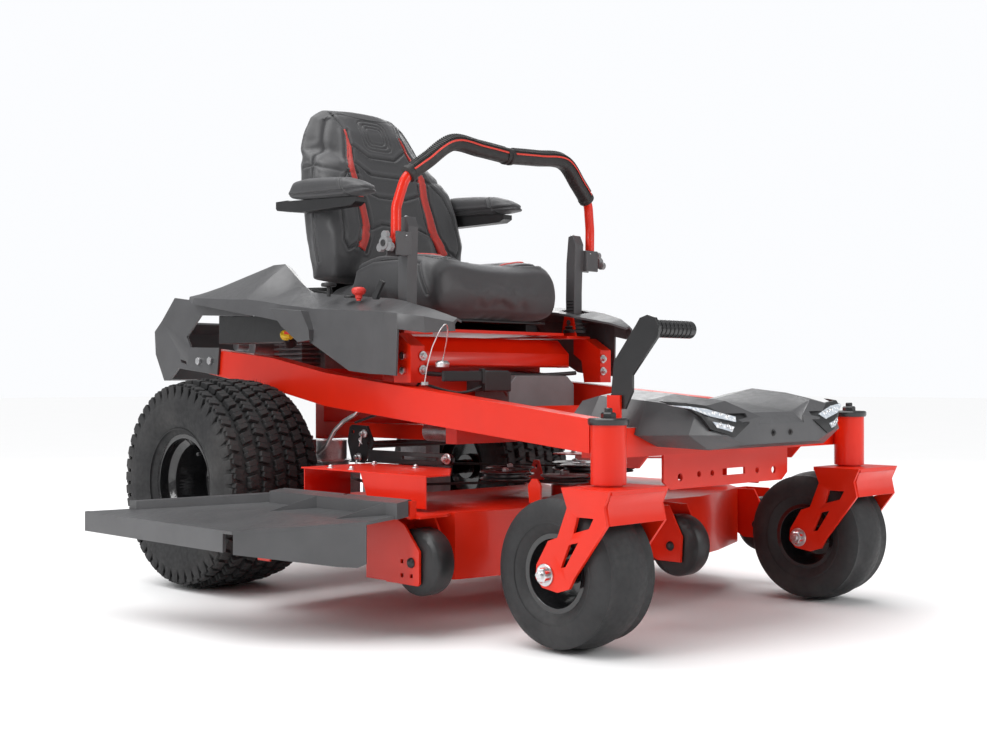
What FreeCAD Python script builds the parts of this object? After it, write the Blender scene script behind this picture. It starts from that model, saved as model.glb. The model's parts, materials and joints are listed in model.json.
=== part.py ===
"""Zero turn mower as a parametric document: one object per physical piece.

Machine coordinates: X = 0 on the centreline with +X to the mower's left, Y = 0 on the rear
axle with -Y to the front, Z = 0 on the ground.  Every sub-part is moved by row_shift_x and
row_shift_y, which bring the middle of the whole machine's footprint to the origin.
"""
import FreeCAD, Part
import math
import os
import re
import Sketcher
from FreeCAD import Placement, Rotation, Vector

SIZES = {
    # whole machine
    "row_shift_x": 150, "row_shift_y": 449,
    # rear wheels, 22 x 11 - 10
    "rear_wheel_x": 498, "rear_wheel_radius": 285, "rear_wheel_width": 290,
    "rear_rim_radius": 127, "rear_flange_radius": 135, "hub_radius": 62,
    # casters, 13 x 6.5 - 6
    "caster_x": 473, "caster_pivot_y": -1376, "caster_trail": 89, "caster_radius": 165,
    "caster_width": 164, "caster_rim_radius": 76, "caster_flange_radius": 84,
    "fork_half_width": 95, "fork_sheet": 8, "crown_top": 346,
    "barrel_radius": 37, "barrel_bottom": 350, "barrel_top": 475, "stem_radius": 19,
    "caster_bolt_radius": 9.5,
    # frame
    "rail_sheet": 50, "rear_rail_x": 345, "front_rail_x": 488,
    "beam_front": -1345, "beam_depth": 60, "beam_bottom": 400, "beam_top": 462,
    # deck
    "deck_bottom": 118, "deck_top": 268, "deck_sheet": 5, "deck_side": 640,
    "spindle_x": 415, "side_spindle_y": -640, "centre_spindle_y": -828,
    "spindle_radius": 12.5, "blade_length": 430, "blade_height": 150, "pulley_radius": 62,
    "pulley_bottom": 300, "engine_pulley_radius": 75, "engine_pulley_y": 160,
    "roller_radius": 75, "roller_width": 58,
    "chute_hinge_height": 293,
    # seat and controls
    "seat_half_width": 240, "cushion_half_width": 250, "armrest_x": 283, "pad_half_width": 38,
    "armrest_pivot_y": -60, "armrest_pivot_height": 1052,
    "arm_pivot_y": -578, "arm_pivot_height": 730, "arm_x": 319, "arm_thickness": 34,
    "bar_x": 371, "bar_radius": 13, "grip_radius": 19, "swing_y": -592, "swing_height": 915,
    "knob_x": 405, "knob_height": 907,
    "pedal_x": 392, "pedal_y": -1334, "pedal_height": 518,
    "lift_pivot_y": -380, "lift_pivot_height": 392,
    "running_gap": 0.1,
}
WORD = re.compile(r"[a-z]+(?:_[a-z]+)+")

doc = FreeCAD.newDocument("Mower")
sheet = doc.addObject("Spreadsheet::Sheet", "Sizes")
for row, (alias, value) in enumerate(SIZES.items(), start=1):
    sheet.set("A%d" % row, alias)
    sheet.set("B%d" % row, str(value))
    sheet.setAlias("B%d" % row, alias)
doc.recompute()


# ---------------------------------------------------------------- sizes and expressions

def formula(value):
    """A number or a text of aliases as an expression that reads the sheet."""
    return WORD.sub(r"Sizes.\g<0>", str(value))


def size(value):
    """The number that a formula gives now."""
    if isinstance(value, str):
        return float(sheet.evalExpression(formula(value)))
    return float(value)


def bind(item, prop, value):
    """Tie a property to the sheet."""
    item.setExpression(prop, formula(value))


def put(item, x=0, y=0, z=0):
    """Tie an object's place to the sheet."""
    for axis, value in zip("xyz", (x, y, z)):
        bind(item, "Placement.Base." + axis, value)
    return item


def span(low, high):
    return "(%s) - (%s)" % (high, low)


# ---------------------------------------------------------------- simple pieces

def block(x0, x1, y0, y1, z0, z1):
    """A box between two corners."""
    item = doc.addObject("Part::Box", "Block")
    for prop, low, high in (("Length", x0, x1), ("Width", y0, y1), ("Height", z0, z1)):
        bind(item, prop, span(low, high))
    return put(item, x0, y0, z0)


TURNS = {
    "X": Rotation(Vector(0, 1, 0), 90),
    "Y": Rotation(Vector(1, 0, 0), -90),
    "Z": Rotation(),
}


def rod(axis, radius, low, high, a, b):
    """A cylinder along an axis from low to high; a and b are its two other coordinates."""
    item = doc.addObject("Part::Cylinder", "Rod")
    bind(item, "Radius", radius)
    bind(item, "Height", span(low, high))
    item.Placement = Placement(Vector(), TURNS[axis])
    place = {"X": (low, a, b), "Y": (a, low, b), "Z": (a, b, low)}[axis]
    return put(item, *place)


def hexagon(axis, across, low, high, a, b):
    """A bolt head or nut: a six-sided prism along an axis."""
    item = doc.addObject("Part::Prism", "Hexagon")
    item.Polygon = 6
    bind(item, "Circumradius", "(%s) / 1.732" % across)
    bind(item, "Height", span(low, high))
    item.Placement = Placement(Vector(), TURNS[axis])
    place = {"X": (low, a, b), "Y": (a, low, b), "Z": (a, b, low)}[axis]
    return put(item, *place)


def fuse(*pieces):
    """Pieces welded or moulded into one solid."""
    if len(pieces) == 1:
        return pieces[0]
    item = doc.addObject("Part::MultiFuse", "Fusion")
    item.Shapes = list(pieces)
    item.Refine = True
    return item


def cut(base, *tools):
    """A piece with the tools' room taken out of it."""
    item = doc.addObject("Part::Cut", "Cut")
    item.Base = base
    item.Tool = fuse(*tools)
    item.Refine = True
    return item


def ring(axis, outer, inner, low, high, a, b):
    """A tube between two stations along an axis, centred at (a, b) in the plane across it."""
    return cut(rod(axis, outer, low, high, a, b), rod(axis, inner, low, high, a, b))


def mirrored(piece):
    """The same piece on the other side of the centreline."""
    item = doc.addObject("Part::Mirroring", "Mirror")
    item.Source = piece
    item.Normal = Vector(1, 0, 0)
    item.Base = Vector(0, 0, 0)
    return item


# ---------------------------------------------------------------- sketched pieces

PLANES = {"XY": "XY_Plane", "XZ": "XZ_Plane", "YZ": "YZ_Plane"}


def add_loop(sketch, outline):
    """A closed outline of straight lines, every corner tied to the sheet."""
    corners = [Vector(size(u), size(v), 0) for u, v in outline]
    first = sketch.GeometryCount
    count = len(corners)
    for number in range(count):
        sketch.addGeometry(Part.LineSegment(corners[number], corners[(number + 1) % count]), False)
    for number in range(count):
        this = first + number
        following = first + (number + 1) % count
        sketch.addConstraint(Sketcher.Constraint("Coincident", this, 2, following, 1))
        for kind, value in zip(("DistanceX", "DistanceY"), outline[number]):
            index = sketch.addConstraint(Sketcher.Constraint(kind, -1, 1, this, 1, size(value)))
            if isinstance(value, str):
                bind(sketch, "Constraints[%d]" % index, value)


def add_circle(sketch, u, v, radius):
    centre = Vector(size(u), size(v), 0)
    number = sketch.addGeometry(Part.Circle(centre, Vector(0, 0, 1), size(radius)), False)
    for kind, value in (("DistanceX", u), ("DistanceY", v)):
        index = sketch.addConstraint(Sketcher.Constraint(kind, -1, 1, number, 3, size(value)))
        if isinstance(value, str):
            bind(sketch, "Constraints[%d]" % index, value)
    index = sketch.addConstraint(Sketcher.Constraint("Radius", number, size(radius)))
    if isinstance(radius, str):
        bind(sketch, "Constraints[%d]" % index, radius)


def sketched_body(plane, outline, holes=(), offset=0):
    """A body with one sketch on an origin plane, moved off along the plane's normal."""
    body = doc.addObject("PartDesign::Body", "Body")
    sketch = body.newObject("Sketcher::SketchObject", "Sketch")
    origin = [f for f in body.Origin.OriginFeatures if f.Role == PLANES[plane]][0]
    sketch.AttachmentSupport = [(origin, "")]
    sketch.MapMode = "FlatFace"
    bind(sketch, "AttachmentOffset.Base.z", offset)
    add_loop(sketch, outline)
    for hole in holes:
        if len(hole) == 3 and not isinstance(hole[0], (tuple, list)):
            add_circle(sketch, *hole)
        else:
            add_loop(sketch, hole)
    return body, sketch


def plate(plane, outline, low, high, holes=()):
    """A flat piece: an outline on a plane, padded from low to high along the third axis.

    The XZ plane's normal points to -Y, so there the sketch sits at high and pads towards low.
    """
    offset = "-(%s)" % high if plane == "XZ" else low
    body, sketch = sketched_body(plane, outline, holes, offset)
    pad = body.newObject("PartDesign::Pad", "Pad")
    pad.Profile = sketch
    bind(pad, "Length", span(low, high))
    return body


def turned(axis, outline, x=0, y=0, z=0):
    """A turned piece.  The outline's first value runs along the axis, its second is the radius."""
    body, sketch = sketched_body("XY", outline)
    turn = body.newObject("PartDesign::Revolution", "Revolution")
    turn.Profile = sketch
    turn.ReferenceAxis = (sketch, ["H_Axis"])
    turn.Angle = 360
    directions = {"X": Rotation(), "Y": Rotation(Vector(0, 0, 1), 90), "Z": Rotation(Vector(0, 1, 0), -90)}
    body.Placement = Placement(Vector(), directions[axis])
    return put(body, x, y, z)


def channel_path(stations):
    """A ruled loft through outlines that lie across the machine, one for each value of Y."""
    sections = []
    for along, outline in stations:
        sketch = doc.addObject("Sketcher::SketchObject", "Section")
        sketch.Placement = Placement(Vector(), Rotation(Vector(1, 0, 0), 90))
        add_loop(sketch, outline)
        put(sketch, 0, along, 0)
        sections.append(sketch)
    loft = doc.addObject("Part::Loft", "Loft")
    loft.Sections = sections
    loft.Solid = True
    loft.Ruled = True
    return loft


# ---------------------------------------------------------------- computed pieces

def feature(shape):
    item = doc.addObject("Part::Feature", "Shape")
    item.Shape = shape
    return item


def vectors(points):
    return [Vector(*[size(value) for value in point]) for point in points]


def bent_path(points, radius):
    """Straight runs joined by tangent arcs."""
    corners = vectors(points)
    edges = []
    start = corners[0]
    for before, corner, after in zip(corners, corners[1:], corners[2:]):
        back = (before - corner).normalize()
        ahead = (after - corner).normalize()
        half = back.getAngle(ahead) / 2
        room = 0.45 * min((before - corner).Length, (after - corner).Length)
        reach = min(radius / math.tan(half), room)
        bend = reach * math.tan(half)
        middle = (back + ahead).normalize()
        hub = corner + middle * (bend / math.sin(half))
        first = corner + back * reach
        last = corner + ahead * reach
        edges.append(Part.LineSegment(start, first).toShape())
        edges.append(Part.Arc(first, hub - middle * bend, last).toShape())
        start = last
    edges.append(Part.LineSegment(start, corners[-1]).toShape())
    return Part.Wire(edges)


def bent_rod(points, radius, bend):
    """A round bar bent along straight runs and arcs."""
    path = bent_path(points, bend)
    first = path.OrderedVertexes[0].Point
    ahead = path.OrderedEdges[0].tangentAt(path.OrderedEdges[0].FirstParameter)
    ring_wire = Part.Wire([Part.Circle(first, ahead, size(radius)).toShape()])
    return feature(path.makePipeShell([ring_wire], True, False))


def cushion(profile, half_width, edge, x=0):
    """A simple padded solid: a side outline across the seat with its long edges rounded."""
    face = Part.Face(Part.makePolygon(vectors([(x - half_width, y, z) for y, z in profile + profile[:1]])))
    solid = face.extrude(Vector(2 * half_width, 0, 0))
    sides = [e for e in solid.Edges
             if all(abs(abs(v.Point.x - x) - half_width) < 0.01 for v in e.Vertexes)
             and abs(e.Vertexes[0].Point.x - e.Vertexes[1].Point.x) < 0.01]
    return feature(solid.makeChamfer(edge, sides))


NODES = []


def node(label, *pieces):
    """One named sub-part, brought from machine coordinates into the part's own frame."""
    item = doc.addObject("Part::Compound", "Node")
    item.Label = label
    item.Links = list(pieces)
    put(item, "row_shift_x", "row_shift_y", 0)
    NODES.append(item)
    return item


def pair(name, *pieces):
    """The same sub-part on the mower's right and left."""
    node(name + "_right", *pieces)
    node(name + "_left", *[mirrored(piece) for piece in pieces])


# ---------------------------------------------------------------- frame

def rail_section(outer, low, high):
    """One section of the right side rail, as X and Z."""
    inner = "-(%s) + rail_sheet" % outer
    outer = "-(%s)" % outer
    return [(outer, low), (inner, low), (inner, high), (outer, high)]


def frame_rails():
    """Side rails: level at the back, then down and out to the caster barrels."""
    front_end = "caster_pivot_y + barrel_radius + 1"
    rail = channel_path([
        (290, rail_section("rear_rail_x", 583, 658)),
        (-30, rail_section("rear_rail_x", 538, 627)),
        (-280, rail_section("rear_rail_x + 6", 494, 584)),
        (front_end, rail_section("front_rail_x", 412, 484)),
    ])
    trim = rod("Z", "barrel_radius + 5", 380, 520, "-caster_x", "caster_pivot_y")
    beam_room = block("-caster_x + 19", "-400", "beam_front - 1", "beam_front + beam_depth + 0.5",
                      "beam_bottom - 1", "beam_top + 0.5")
    pair("frame_rail", cut(rail, trim, beam_room))


def front_axle_beam():
    """Cross beam with a barrel at each end for the caster stems, and a slotted plate in front."""
    back = "beam_front + beam_depth"
    beam = block("-caster_x + 20", "caster_x - 20", "beam_front", back, "beam_bottom", "beam_top")
    barrels = []
    bores = []
    for side in ("-caster_x", "caster_x"):
        barrels.append(rod("Z", "barrel_radius", "barrel_bottom", "barrel_top", side, "caster_pivot_y"))
        bores.append(rod("Z", "stem_radius + running_gap", "barrel_bottom - 1", "barrel_top + 1",
                         side, "caster_pivot_y"))
    skirt = plate("XZ", [(-240, 402), (-240, 340), (-215, 322), (225, 322), (250, 340), (250, 402)],
                  "beam_front + 8", "beam_front + 14",
                  holes=[(-180, 348, 9), (-110, 352, 7), (-60, 352, 7), (120, 350, 7), (190, 348, 9),
                         [(-20, 344), (70, 344), (70, 360), (-20, 360)]])
    gussets = []
    for side in (-1, 1):
        low = side * 300 - 4
        gussets.append(plate("YZ", [("beam_front + 2", 402), (back, 402), (back, 372),
                                    ("beam_front + 30", 372)], low, low + 8))
    ear = block("-pedal_x - 8", "-pedal_x - 1", -1345, -1310, "beam_top - 2", 532)
    pin = rod("X", 8, "-pedal_x - 4", "-pedal_x + 14", "pedal_y", "pedal_height")
    node("front_axle_beam", cut(fuse(beam, *barrels, skirt, *gussets, ear, pin), *bores))


def foot_deck():
    """Floor plate that the operator's feet rest on, with two raised ribs."""
    floor = plate("YZ", [(-1176, 463), (-700, 463), (-668, 495), (-660, 490), (-696, 456),
                         (-1176, 456)], -330, 330)
    ribs = [block(x, x + 24, -1160, -730, 463, 470) for x in (-270, -130, 106, 246)]
    tread = [block(x, x + 90, -1140, -800, 463, 467) for x in (-232, -92, 2, 142)]
    node("foot_deck", fuse(floor, *ribs, *tread))


def front_cowl():
    """Moulded front cowl: faceted, with a raised hood over each lamp and a low middle."""
    def section(y, half, low, high, middle, lift):
        return (y, [(-half, low + lift), (-half + 70, low), (half - 70, low), (half, low + lift),
                    (half - 30, high), (half - 130, high + 14), (90, middle), (-90, middle),
                    (-half + 130, high + 14), (-half + 30, high)])
    outside = channel_path([
        section(-1484, 215, 424, 470, 468, 22),
        section(-1450, 300, 414, 505, 492, 34),
        section(-1352, 352, 420, 520, 506, 26),
        section(-1240, 372, 466, 530, 520, 18),
        section(-1180, 360, 480, 518, 510, 10),
    ])
    hollow = channel_path([
        section(-1462, 200, 430, 462, 460, 18),
        section(-1440, 288, 421, 498, 486, 34),
        section(-1352, 344, 427, 513, 499, 26),
        section(-1240, 364, 470, 523, 513, 18),
        section(-1170, 352, 476, 511, 503, 10),
    ])
    beam_room = block(-460, 460, -1346, -1170, 380, 464)
    lamp_rooms = [block(side * 190 - 62, side * 190 + 62, -1480, -1430, 456, 492) for side in (-1, 1)]
    node("front_cowl", cut(outside, hollow, beam_room, *lamp_rooms))
    lenses = []
    for side in (-1, 1):
        for number in range(3):
            middle = side * (158 + 36 * number)
            depth = -1468 + 6 * number
            lenses.append(block(middle - 15, middle + 15, depth, depth + 26, 462, 486))
        lenses.append(block(side * 190 - 56, side * 190 + 56, -1446, -1441, 458, 490))
    node("headlight_lenses", *[fuse(*lenses[:4]), fuse(*lenses[4:])])


def rear_frame():
    """Cross members behind the axle, the engine plate and the hitch plate with its hole."""
    inner = "rear_rail_x - rail_sheet - 0.5"
    cross = block("-(%s)" % inner, inner, 250, 290, 590, 640)
    engine_plate = block(-200, 200, -20, 250, 590, 598)
    shoulder = block("-(%s)" % inner, inner, -60, -20, 545, 598)
    lower = block(-185, 185, -60, -20, 395, 545)
    hitch = plate("XY", [(-60, 290), (60, 290), (60, 500), (40, 522), (-40, 522), (-60, 500)],
                  590, 600, holes=[(0, 492, 8)])
    cross_front = block(-300, 300, -740, -700, 405, 455)
    links = [block(x, x + 40, -700, -60, 405, 445) for x in (-185, 145)]
    node("rear_frame", cross, engine_plate, shoulder, lower, hitch, cross_front, *links)


def rear_bumper():
    """Guard round the back: a shaped side plate each side and a beam between them."""
    outline = [(470, 818), (545, 748), (586, 717), (580, 646), (530, 563), (500, 563), (448, 601),
               (236, 580), (226, 660), (380, 664), (402, 697), (324, 759), (60, 748), (100, 775)]
    outer = "rear_rail_x + 1"
    sides = []
    for low, high in (("-(%s) - 7" % outer, "-(%s)" % outer), (outer, "%s + 7" % outer)):
        slot = [(400, 612), (430, 618), (436, 628), (404, 622)]
        sides.append(plate("YZ", outline, low, high, holes=[slot]))
    beam = plate("YZ", [(545, 748), (586, 717), (580, 646), (530, 563), (523, 568), (571, 648),
                        (577, 713), (539, 742)], "-(%s)" % outer, outer)
    node("rear_bumper", fuse(sides[0], sides[1], beam))


def seat_supports():
    """Pillars on each side of the seat, their top plates, the arm pivots and the seat platform."""
    pieces = [block(-262, 262, -590, -100, 690, 698)]
    arm_inner = "arm_x - arm_thickness / 2"
    for side in (-1, 1):
        low, high = sorted((side * 383, side * 337))
        pieces.append(plate("YZ", [(-662, 558), (-662, 650), (-606, 684), (-560, 684), (-560, 640),
                                   (-590, 620), (-600, 558)], low, high))
        low, high = sorted((side * 356, side * 258))
        pieces.append(plate("YZ", [(-606, 682), (-606, 690), (-100, 700), (-100, 692)], low, high))
        low, high = ("%s - 8" % arm_inner, "%s - 2" % arm_inner)
        if side < 0:
            low, high = "-(%s)" % high, "-(%s)" % low
        pieces.append(plate("YZ", [(-606, 690), (-550, 690), (-562, 748), (-594, 748)], low, high,
                            holes=[("arm_pivot_y", "arm_pivot_height", "8 + running_gap")]))
    node("seat_supports", fuse(*pieces))


def seat_front_panel():
    """Chamfered cover across the front of the seat base, and the panel behind it."""
    cover = channel_path([
        (-580, [(-300, 604), (290, 604), (290, 616), (-300, 616)]),
        (-572, [(-316, 600), (304, 600), (304, 640), (-316, 640)]),
        (-528, [(-316, 600), (304, 600), (304, 680), (-316, 680)]),
    ])
    skin = channel_path([
        (-566, [(-308, 590), (296, 590), (296, 630), (-308, 630)]),
        (-526, [(-308, 590), (296, 590), (296, 672), (-308, 672)]),
    ])
    back = block(-300, 300, -462, -456, 470, 680)
    node("seat_front_panel", cut(cover, skin), back)


# ---------------------------------------------------------------- bodywork

def fenders():
    """Faceted moulded fenders beside the seat, with a hump at the back and a leg to the rail."""
    wall = 6

    def section(y, inner, inner_top, ridge, ridge_top, outer, outer_top, skirt_out, skirt):
        return (y, [(-inner, inner_top), (-ridge, ridge_top), (-outer, outer_top), (-skirt_out, skirt),
                    (-skirt_out + wall, skirt), (-outer + wall, outer_top - wall),
                    (-ridge, ridge_top - wall), (-inner, inner_top - wall)])

    main = channel_path([
        section(355, 300, 812, 330, 826, 372, 816, 374, 806),
        section(290, 262, 836, 300, 846, 398, 808, 404, 790),
        section(40, 262, 884, 290, 897, 420, 792, 426, 756),
        section(-15, 262, 884, 290, 897, 424, 790, 430, 748),
        section(-110, 262, 800, 300, 836, 428, 780, 436, 736),
        section(-190, 262, 790, 330, 806, 430, 768, 442, 724),
        section(-330, 262, 778, 340, 792, 430, 752, 448, 668),
        section(-490, 262, 764, 350, 778, 428, 742, 440, 588),
        section(-560, 262, 758, 352, 772, 426, 738, 428, 580),
        section(-612, 270, 748, 362, 764, 428, 734, 426, 578),
        section(-648, 290, 740, 372, 756, 420, 730, 420, 575),
        section(-652, 292, 739, 372, 755, 419, 729, 418, 690),
        section(-720, 306, 726, 358, 738, 392, 720, 388, 680),
        section(-774, 316, 710, 330, 716, 344, 706, 342, 684),
    ])
    arm_slot = block("-arm_x - arm_thickness / 2 - 8", "-arm_x + arm_thickness / 2 + 12", -616, -544,
                     680, 800)
    step = plate("YZ", [(-172, 758), (-312, 746), (-346, 696), (-350, 668), (-300, 664), (-226, 708)],
                 -458, -426)
    pair("fender", cut(fuse(main, step), arm_slot))


def fuel_tank():
    """Tank beside the engine on the right, with a slanted filler neck."""
    tank = plate("YZ", [(-98, 672), (-98, 742), (250, 756), (250, 672)], -338, -262)
    neck = rod("Z", 17, 742, 756, -300, -60)
    node("fuel_tank", fuse(tank, neck))
    cap = turned("Z", [(0, 0), (0, 26), (4, 28), (16, 28), (20, 24), (20, 0)], -300, -60, 756.3)
    node("fuel_cap", cap)


def engine():
    """V-twin engine behind the seat: block with fins, blower housing on top, muffler behind."""
    block_body = block(-120, 120, 20, 249.5, 598, 700)
    fins = []
    for side in (-1, 1):
        for number in range(6):
            low, high = sorted((side * 120, side * 190))
            fins.append(block(low, high, 40, 180, 612 + 14 * number, 618 + 14 * number))
        low, high = sorted((side * 120, side * 176))
        fins.append(block(low, high, 60, 160, 606, 694))
    muffler = rod("X", 48, -150, 150, 380, 672)
    pipe = rod("X", 16, -190, -150, 380, 672)
    bracket = block(-20, 20, 249.5, 332.5, 645, 690)
    node("engine_block", fuse(block_body, *fins), fuse(muffler, pipe), bracket)
    shroud = channel_path([
        (40, [(-150, 701), (150, 701), (150, 760), (110, 790), (-110, 790), (-150, 760)]),
        (76, [(-200, 701), (200, 701), (200, 790), (140, 836), (-140, 836), (-200, 790)]),
        (268, [(-200, 701), (200, 701), (200, 790), (140, 830), (-140, 830), (-200, 790)]),
        (310, [(-150, 701), (150, 701), (150, 750), (110, 780), (-110, 780), (-150, 750)]),
    ])
    screen = rod("Z", 95, 836, 846, 0, 150)
    node("engine_blower_housing", fuse(shroud, screen))
    battery = channel_path([
        (-604, [(24, 470), (290, 470), (290, 552), (262, 576), (52, 576), (24, 552)]),
        (-470, [(24, 470), (290, 470), (290, 566), (262, 590), (52, 590), (24, 566)]),
    ])
    tray = block(24, 200.5, -590, -480, 445, 470)
    node("battery_box", fuse(battery, tray))


def transaxles():
    """A hydrostatic transaxle for each rear wheel, with the bore that its wheel shaft runs in."""
    pieces = []
    for side in (-1, 1):
        low, high = sorted((side * 90, side * 270))
        case = block(low, high, -110, 100, 200, 300)
        low, high = sorted((side * 212, side * 270))
        pump = block(low, high, -60, 60, 300, 394)
        fan = rod("Z", 50, 394, 404, side * 241, 0)
        low, high = sorted((side * 268, side * 340))
        horn = rod("X", 46, low, high, 0, "rear_wheel_radius")
        low, high = sorted((side * 150, side * 345))
        bore = rod("X", "22 + running_gap", low, high, 0, "rear_wheel_radius")
        pieces.append(cut(fuse(case, pump, fan, horn), bore))
    node("transaxles", *pieces)


def chassis_fasteners():
    """Caster caps and the bolts that show on the frame, the pillars and the bumper."""
    pieces = []
    for side in (-1, 1):
        pieces.append(turned("Z", [(0, 0), (0, 40), (3, 41), (7, 38), (9, 0)],
                             side * SIZES["caster_x"], "caster_pivot_y", "barrel_top"))
        for height in (588, 624):
            low, high = sorted((side * 383, side * 391))
            pieces.append(hexagon("X", 17, low, high, -636, height))
        for along in (330, 268):
            low, high = sorted((side * 353, side * 362))
            pieces.append(hexagon("X", 20, low, high, along, 622))
    node("chassis_fasteners", *pieces)


def tether_cable():
    """Thin steel tether from a clip on the rail up in a loop and down to a cap under the seat."""
    route = [(-408, -742, 560), (-413, -757, 600), (-416, -779, 646), (-411, -799, 684),
             (-398, -806, 701), (-385, -799, 690), (-373, -782, 658), (-360, -760, 630),
             (-352, -744, 612)]
    wire = bent_rod(route, 1.6, 60)
    clip = block(-414, -402, -748, -736, 552, 560)
    cap = turned("Z", [(0, 0), (0, 16), (10, 18), (16, 12), (16, 0)], -352, -744, 596)
    node("tether_cable", wire, clip, cap)


# ---------------------------------------------------------------- wheels

BEAD_SEAT = 0.76  # half the bead spacing over half the tyre's width


def tyre(half, radius, bead, wall, depth):
    """Half-round tyre section: bead, bulged side, tread, and the air space inside."""
    seat_x = half * BEAD_SEAT
    outside = [(-seat_x, bead), (-seat_x, bead + 10), (-half * 0.93, bead + depth * 0.22),
               (-half, bead + depth * 0.52), (-half * 0.97, bead + depth * 0.78),
               (-half * 0.80, radius - depth * 0.05), (-half * 0.45, radius), (half * 0.45, radius),
               (half * 0.80, radius - depth * 0.05), (half * 0.97, bead + depth * 0.78),
               (half, bead + depth * 0.52), (half * 0.93, bead + depth * 0.22), (seat_x, bead + 10),
               (seat_x, bead)]
    inner = half - wall
    inside = [(seat_x - wall, bead), (inner * 0.93, bead + depth * 0.24),
              (inner, bead + depth * 0.52), (inner * 0.95, bead + depth * 0.74),
              (inner * 0.78, radius - wall - depth * 0.05), (-inner * 0.78, radius - wall - depth * 0.05),
              (-inner * 0.95, bead + depth * 0.74), (-inner, bead + depth * 0.52),
              (-inner * 0.93, bead + depth * 0.24), (-seat_x + wall, bead)]
    return outside + inside


def rear_wheels():
    """Drive wheels: a tyre on a deep-dished pressed rim with hub, studs and axle shaft."""
    half = SIZES["rear_wheel_width"] / 2
    radius = SIZES["rear_wheel_radius"]
    bead = SIZES["rear_rim_radius"]
    place = ("-rear_wheel_x", 0, "rear_wheel_radius")
    tyre_body = turned("X", tyre(half, radius, bead, 12, radius - bead), *place)
    pair("rear_tyre", tyre_body)
    rim_half = half * BEAD_SEAT + 0.2
    flange = rim_half + 5
    lip = SIZES["rear_flange_radius"]
    rim = turned("X", [(-flange, lip), (-flange, bead - 5), (-rim_half + 22, bead - 5),
                       (-rim_half + 34, 104), (20, 100), (28, 92), (28, 40), (36, 40), (36, 96),
                       (rim_half - 34, 104), (rim_half - 22, bead - 5), (flange, bead - 5),
                       (flange, lip), (rim_half, lip), (rim_half, bead), (rim_half - 26, bead),
                       (rim_half - 40, 110), (-rim_half + 40, 110), (-rim_half + 26, bead),
                       (-rim_half, bead), (-rim_half, lip)], *place)
    hub = turned("X", [(8, 0), (8, 28), (20, 34), (20, "hub_radius"), (28, "hub_radius"), (28, 39.9),
                       (60, 39.9), (60, 22), (338, 22), (338, 0)], *place)
    studs = []
    for number in range(4):
        angle = math.radians(45 + 90 * number)
        y = 50 * math.cos(angle)
        z = "rear_wheel_radius + %.3f" % (50 * math.sin(angle))
        studs.append(hexagon("X", 20, "-rear_wheel_x + 6", "-rear_wheel_x + 20", y, z))
    pair("rear_rim", rim, hub, *studs)


def casters():
    """Casters: a swivelling fork, its axle bolt, and a wheel with rim and tyre."""
    axle_y = "caster_pivot_y + caster_trail"
    inner = SIZES["fork_half_width"] - SIZES["fork_sheet"]
    pivot = SIZES["caster_pivot_y"]
    crown = SIZES["crown_top"]
    leg_outline = [(-1330, crown), (-1459, crown), (-1444, 313), (-1452, 276), (-1366, 166),
                   (-1352, 142), (-1320, 132), (-1278, 138), (-1260, 156), (-1262, 184),
                   (-1294, 235), (-1320, 244), (-1346, 306)]
    windows = [[(-1374, 289), (-1417, 289), (-1405, 268), (-1364, 256)],
               [(-1352, 232), (-1376, 238), (-1342, 186), (-1330, 184)]]
    pieces = []
    for side in (-1, 1):
        low, high = sorted((side * inner, side * SIZES["fork_half_width"]))
        low, high = "-caster_x + %g" % low, "-caster_x + %g" % high
        pieces.append(plate("YZ", leg_outline, low, high,
                            holes=windows + [(axle_y, "caster_radius", "caster_bolt_radius")]))
    across = ("-caster_x - %g" % inner, "-caster_x + %g" % inner)
    top = block(across[0], across[1], -1459, -1326, "crown_top - 10", "crown_top")
    face = plate("YZ", [(-1459, crown), (-1447, 313), (-1454, 276), (-1446, 276), (-1438, 313),
                        (-1450, crown)], *across)
    stem = rod("Z", "stem_radius", "crown_top - 10", "barrel_top - 2", "-caster_x", pivot)
    washer = rod("Z", 30, "crown_top", "barrel_bottom - 0.2", "-caster_x", pivot)
    fork = fuse(*pieces, top, face, stem, washer)
    reach = "fork_half_width"
    bolt = fuse(rod("X", "caster_bolt_radius", "-caster_x - %s - 1" % reach,
                    "-caster_x + %s + 1" % reach, axle_y, "caster_radius"),
                hexagon("X", 28, "-caster_x - %s - 13" % reach, "-caster_x - %s" % reach, axle_y,
                        "caster_radius"),
                hexagon("X", 28, "-caster_x + %s" % reach, "-caster_x + %s + 13" % reach, axle_y,
                        "caster_radius"))
    pair("caster_fork", fork, bolt)
    half = SIZES["caster_width"] / 2
    radius = SIZES["caster_radius"]
    bead = SIZES["caster_rim_radius"]
    place = ("-caster_x", axle_y, "caster_radius")
    pair("caster_tyre", turned("X", tyre(half, radius, bead, 8, radius - bead), *place))
    rim_half = half * BEAD_SEAT + 0.2
    flange = rim_half + 4
    lip = SIZES["caster_flange_radius"]
    bore = "caster_bolt_radius + running_gap"
    rim = turned("X", [(-flange, lip), (-flange, bead - 4), (-26, 56), (-6, 52), (-6, 26), (-76, 24),
                       (-76, bore), (76, bore), (76, 24), (6, 26), (6, 52), (26, 56), (flange, bead - 4),
                       (flange, lip), (rim_half, lip), (rim_half, bead), (30, bead), (26, 62),
                       (-26, 62), (-30, bead), (-rim_half, bead), (-rim_half, lip)], *place)
    pair("caster_rim", rim)


# ---------------------------------------------------------------- controls

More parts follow.
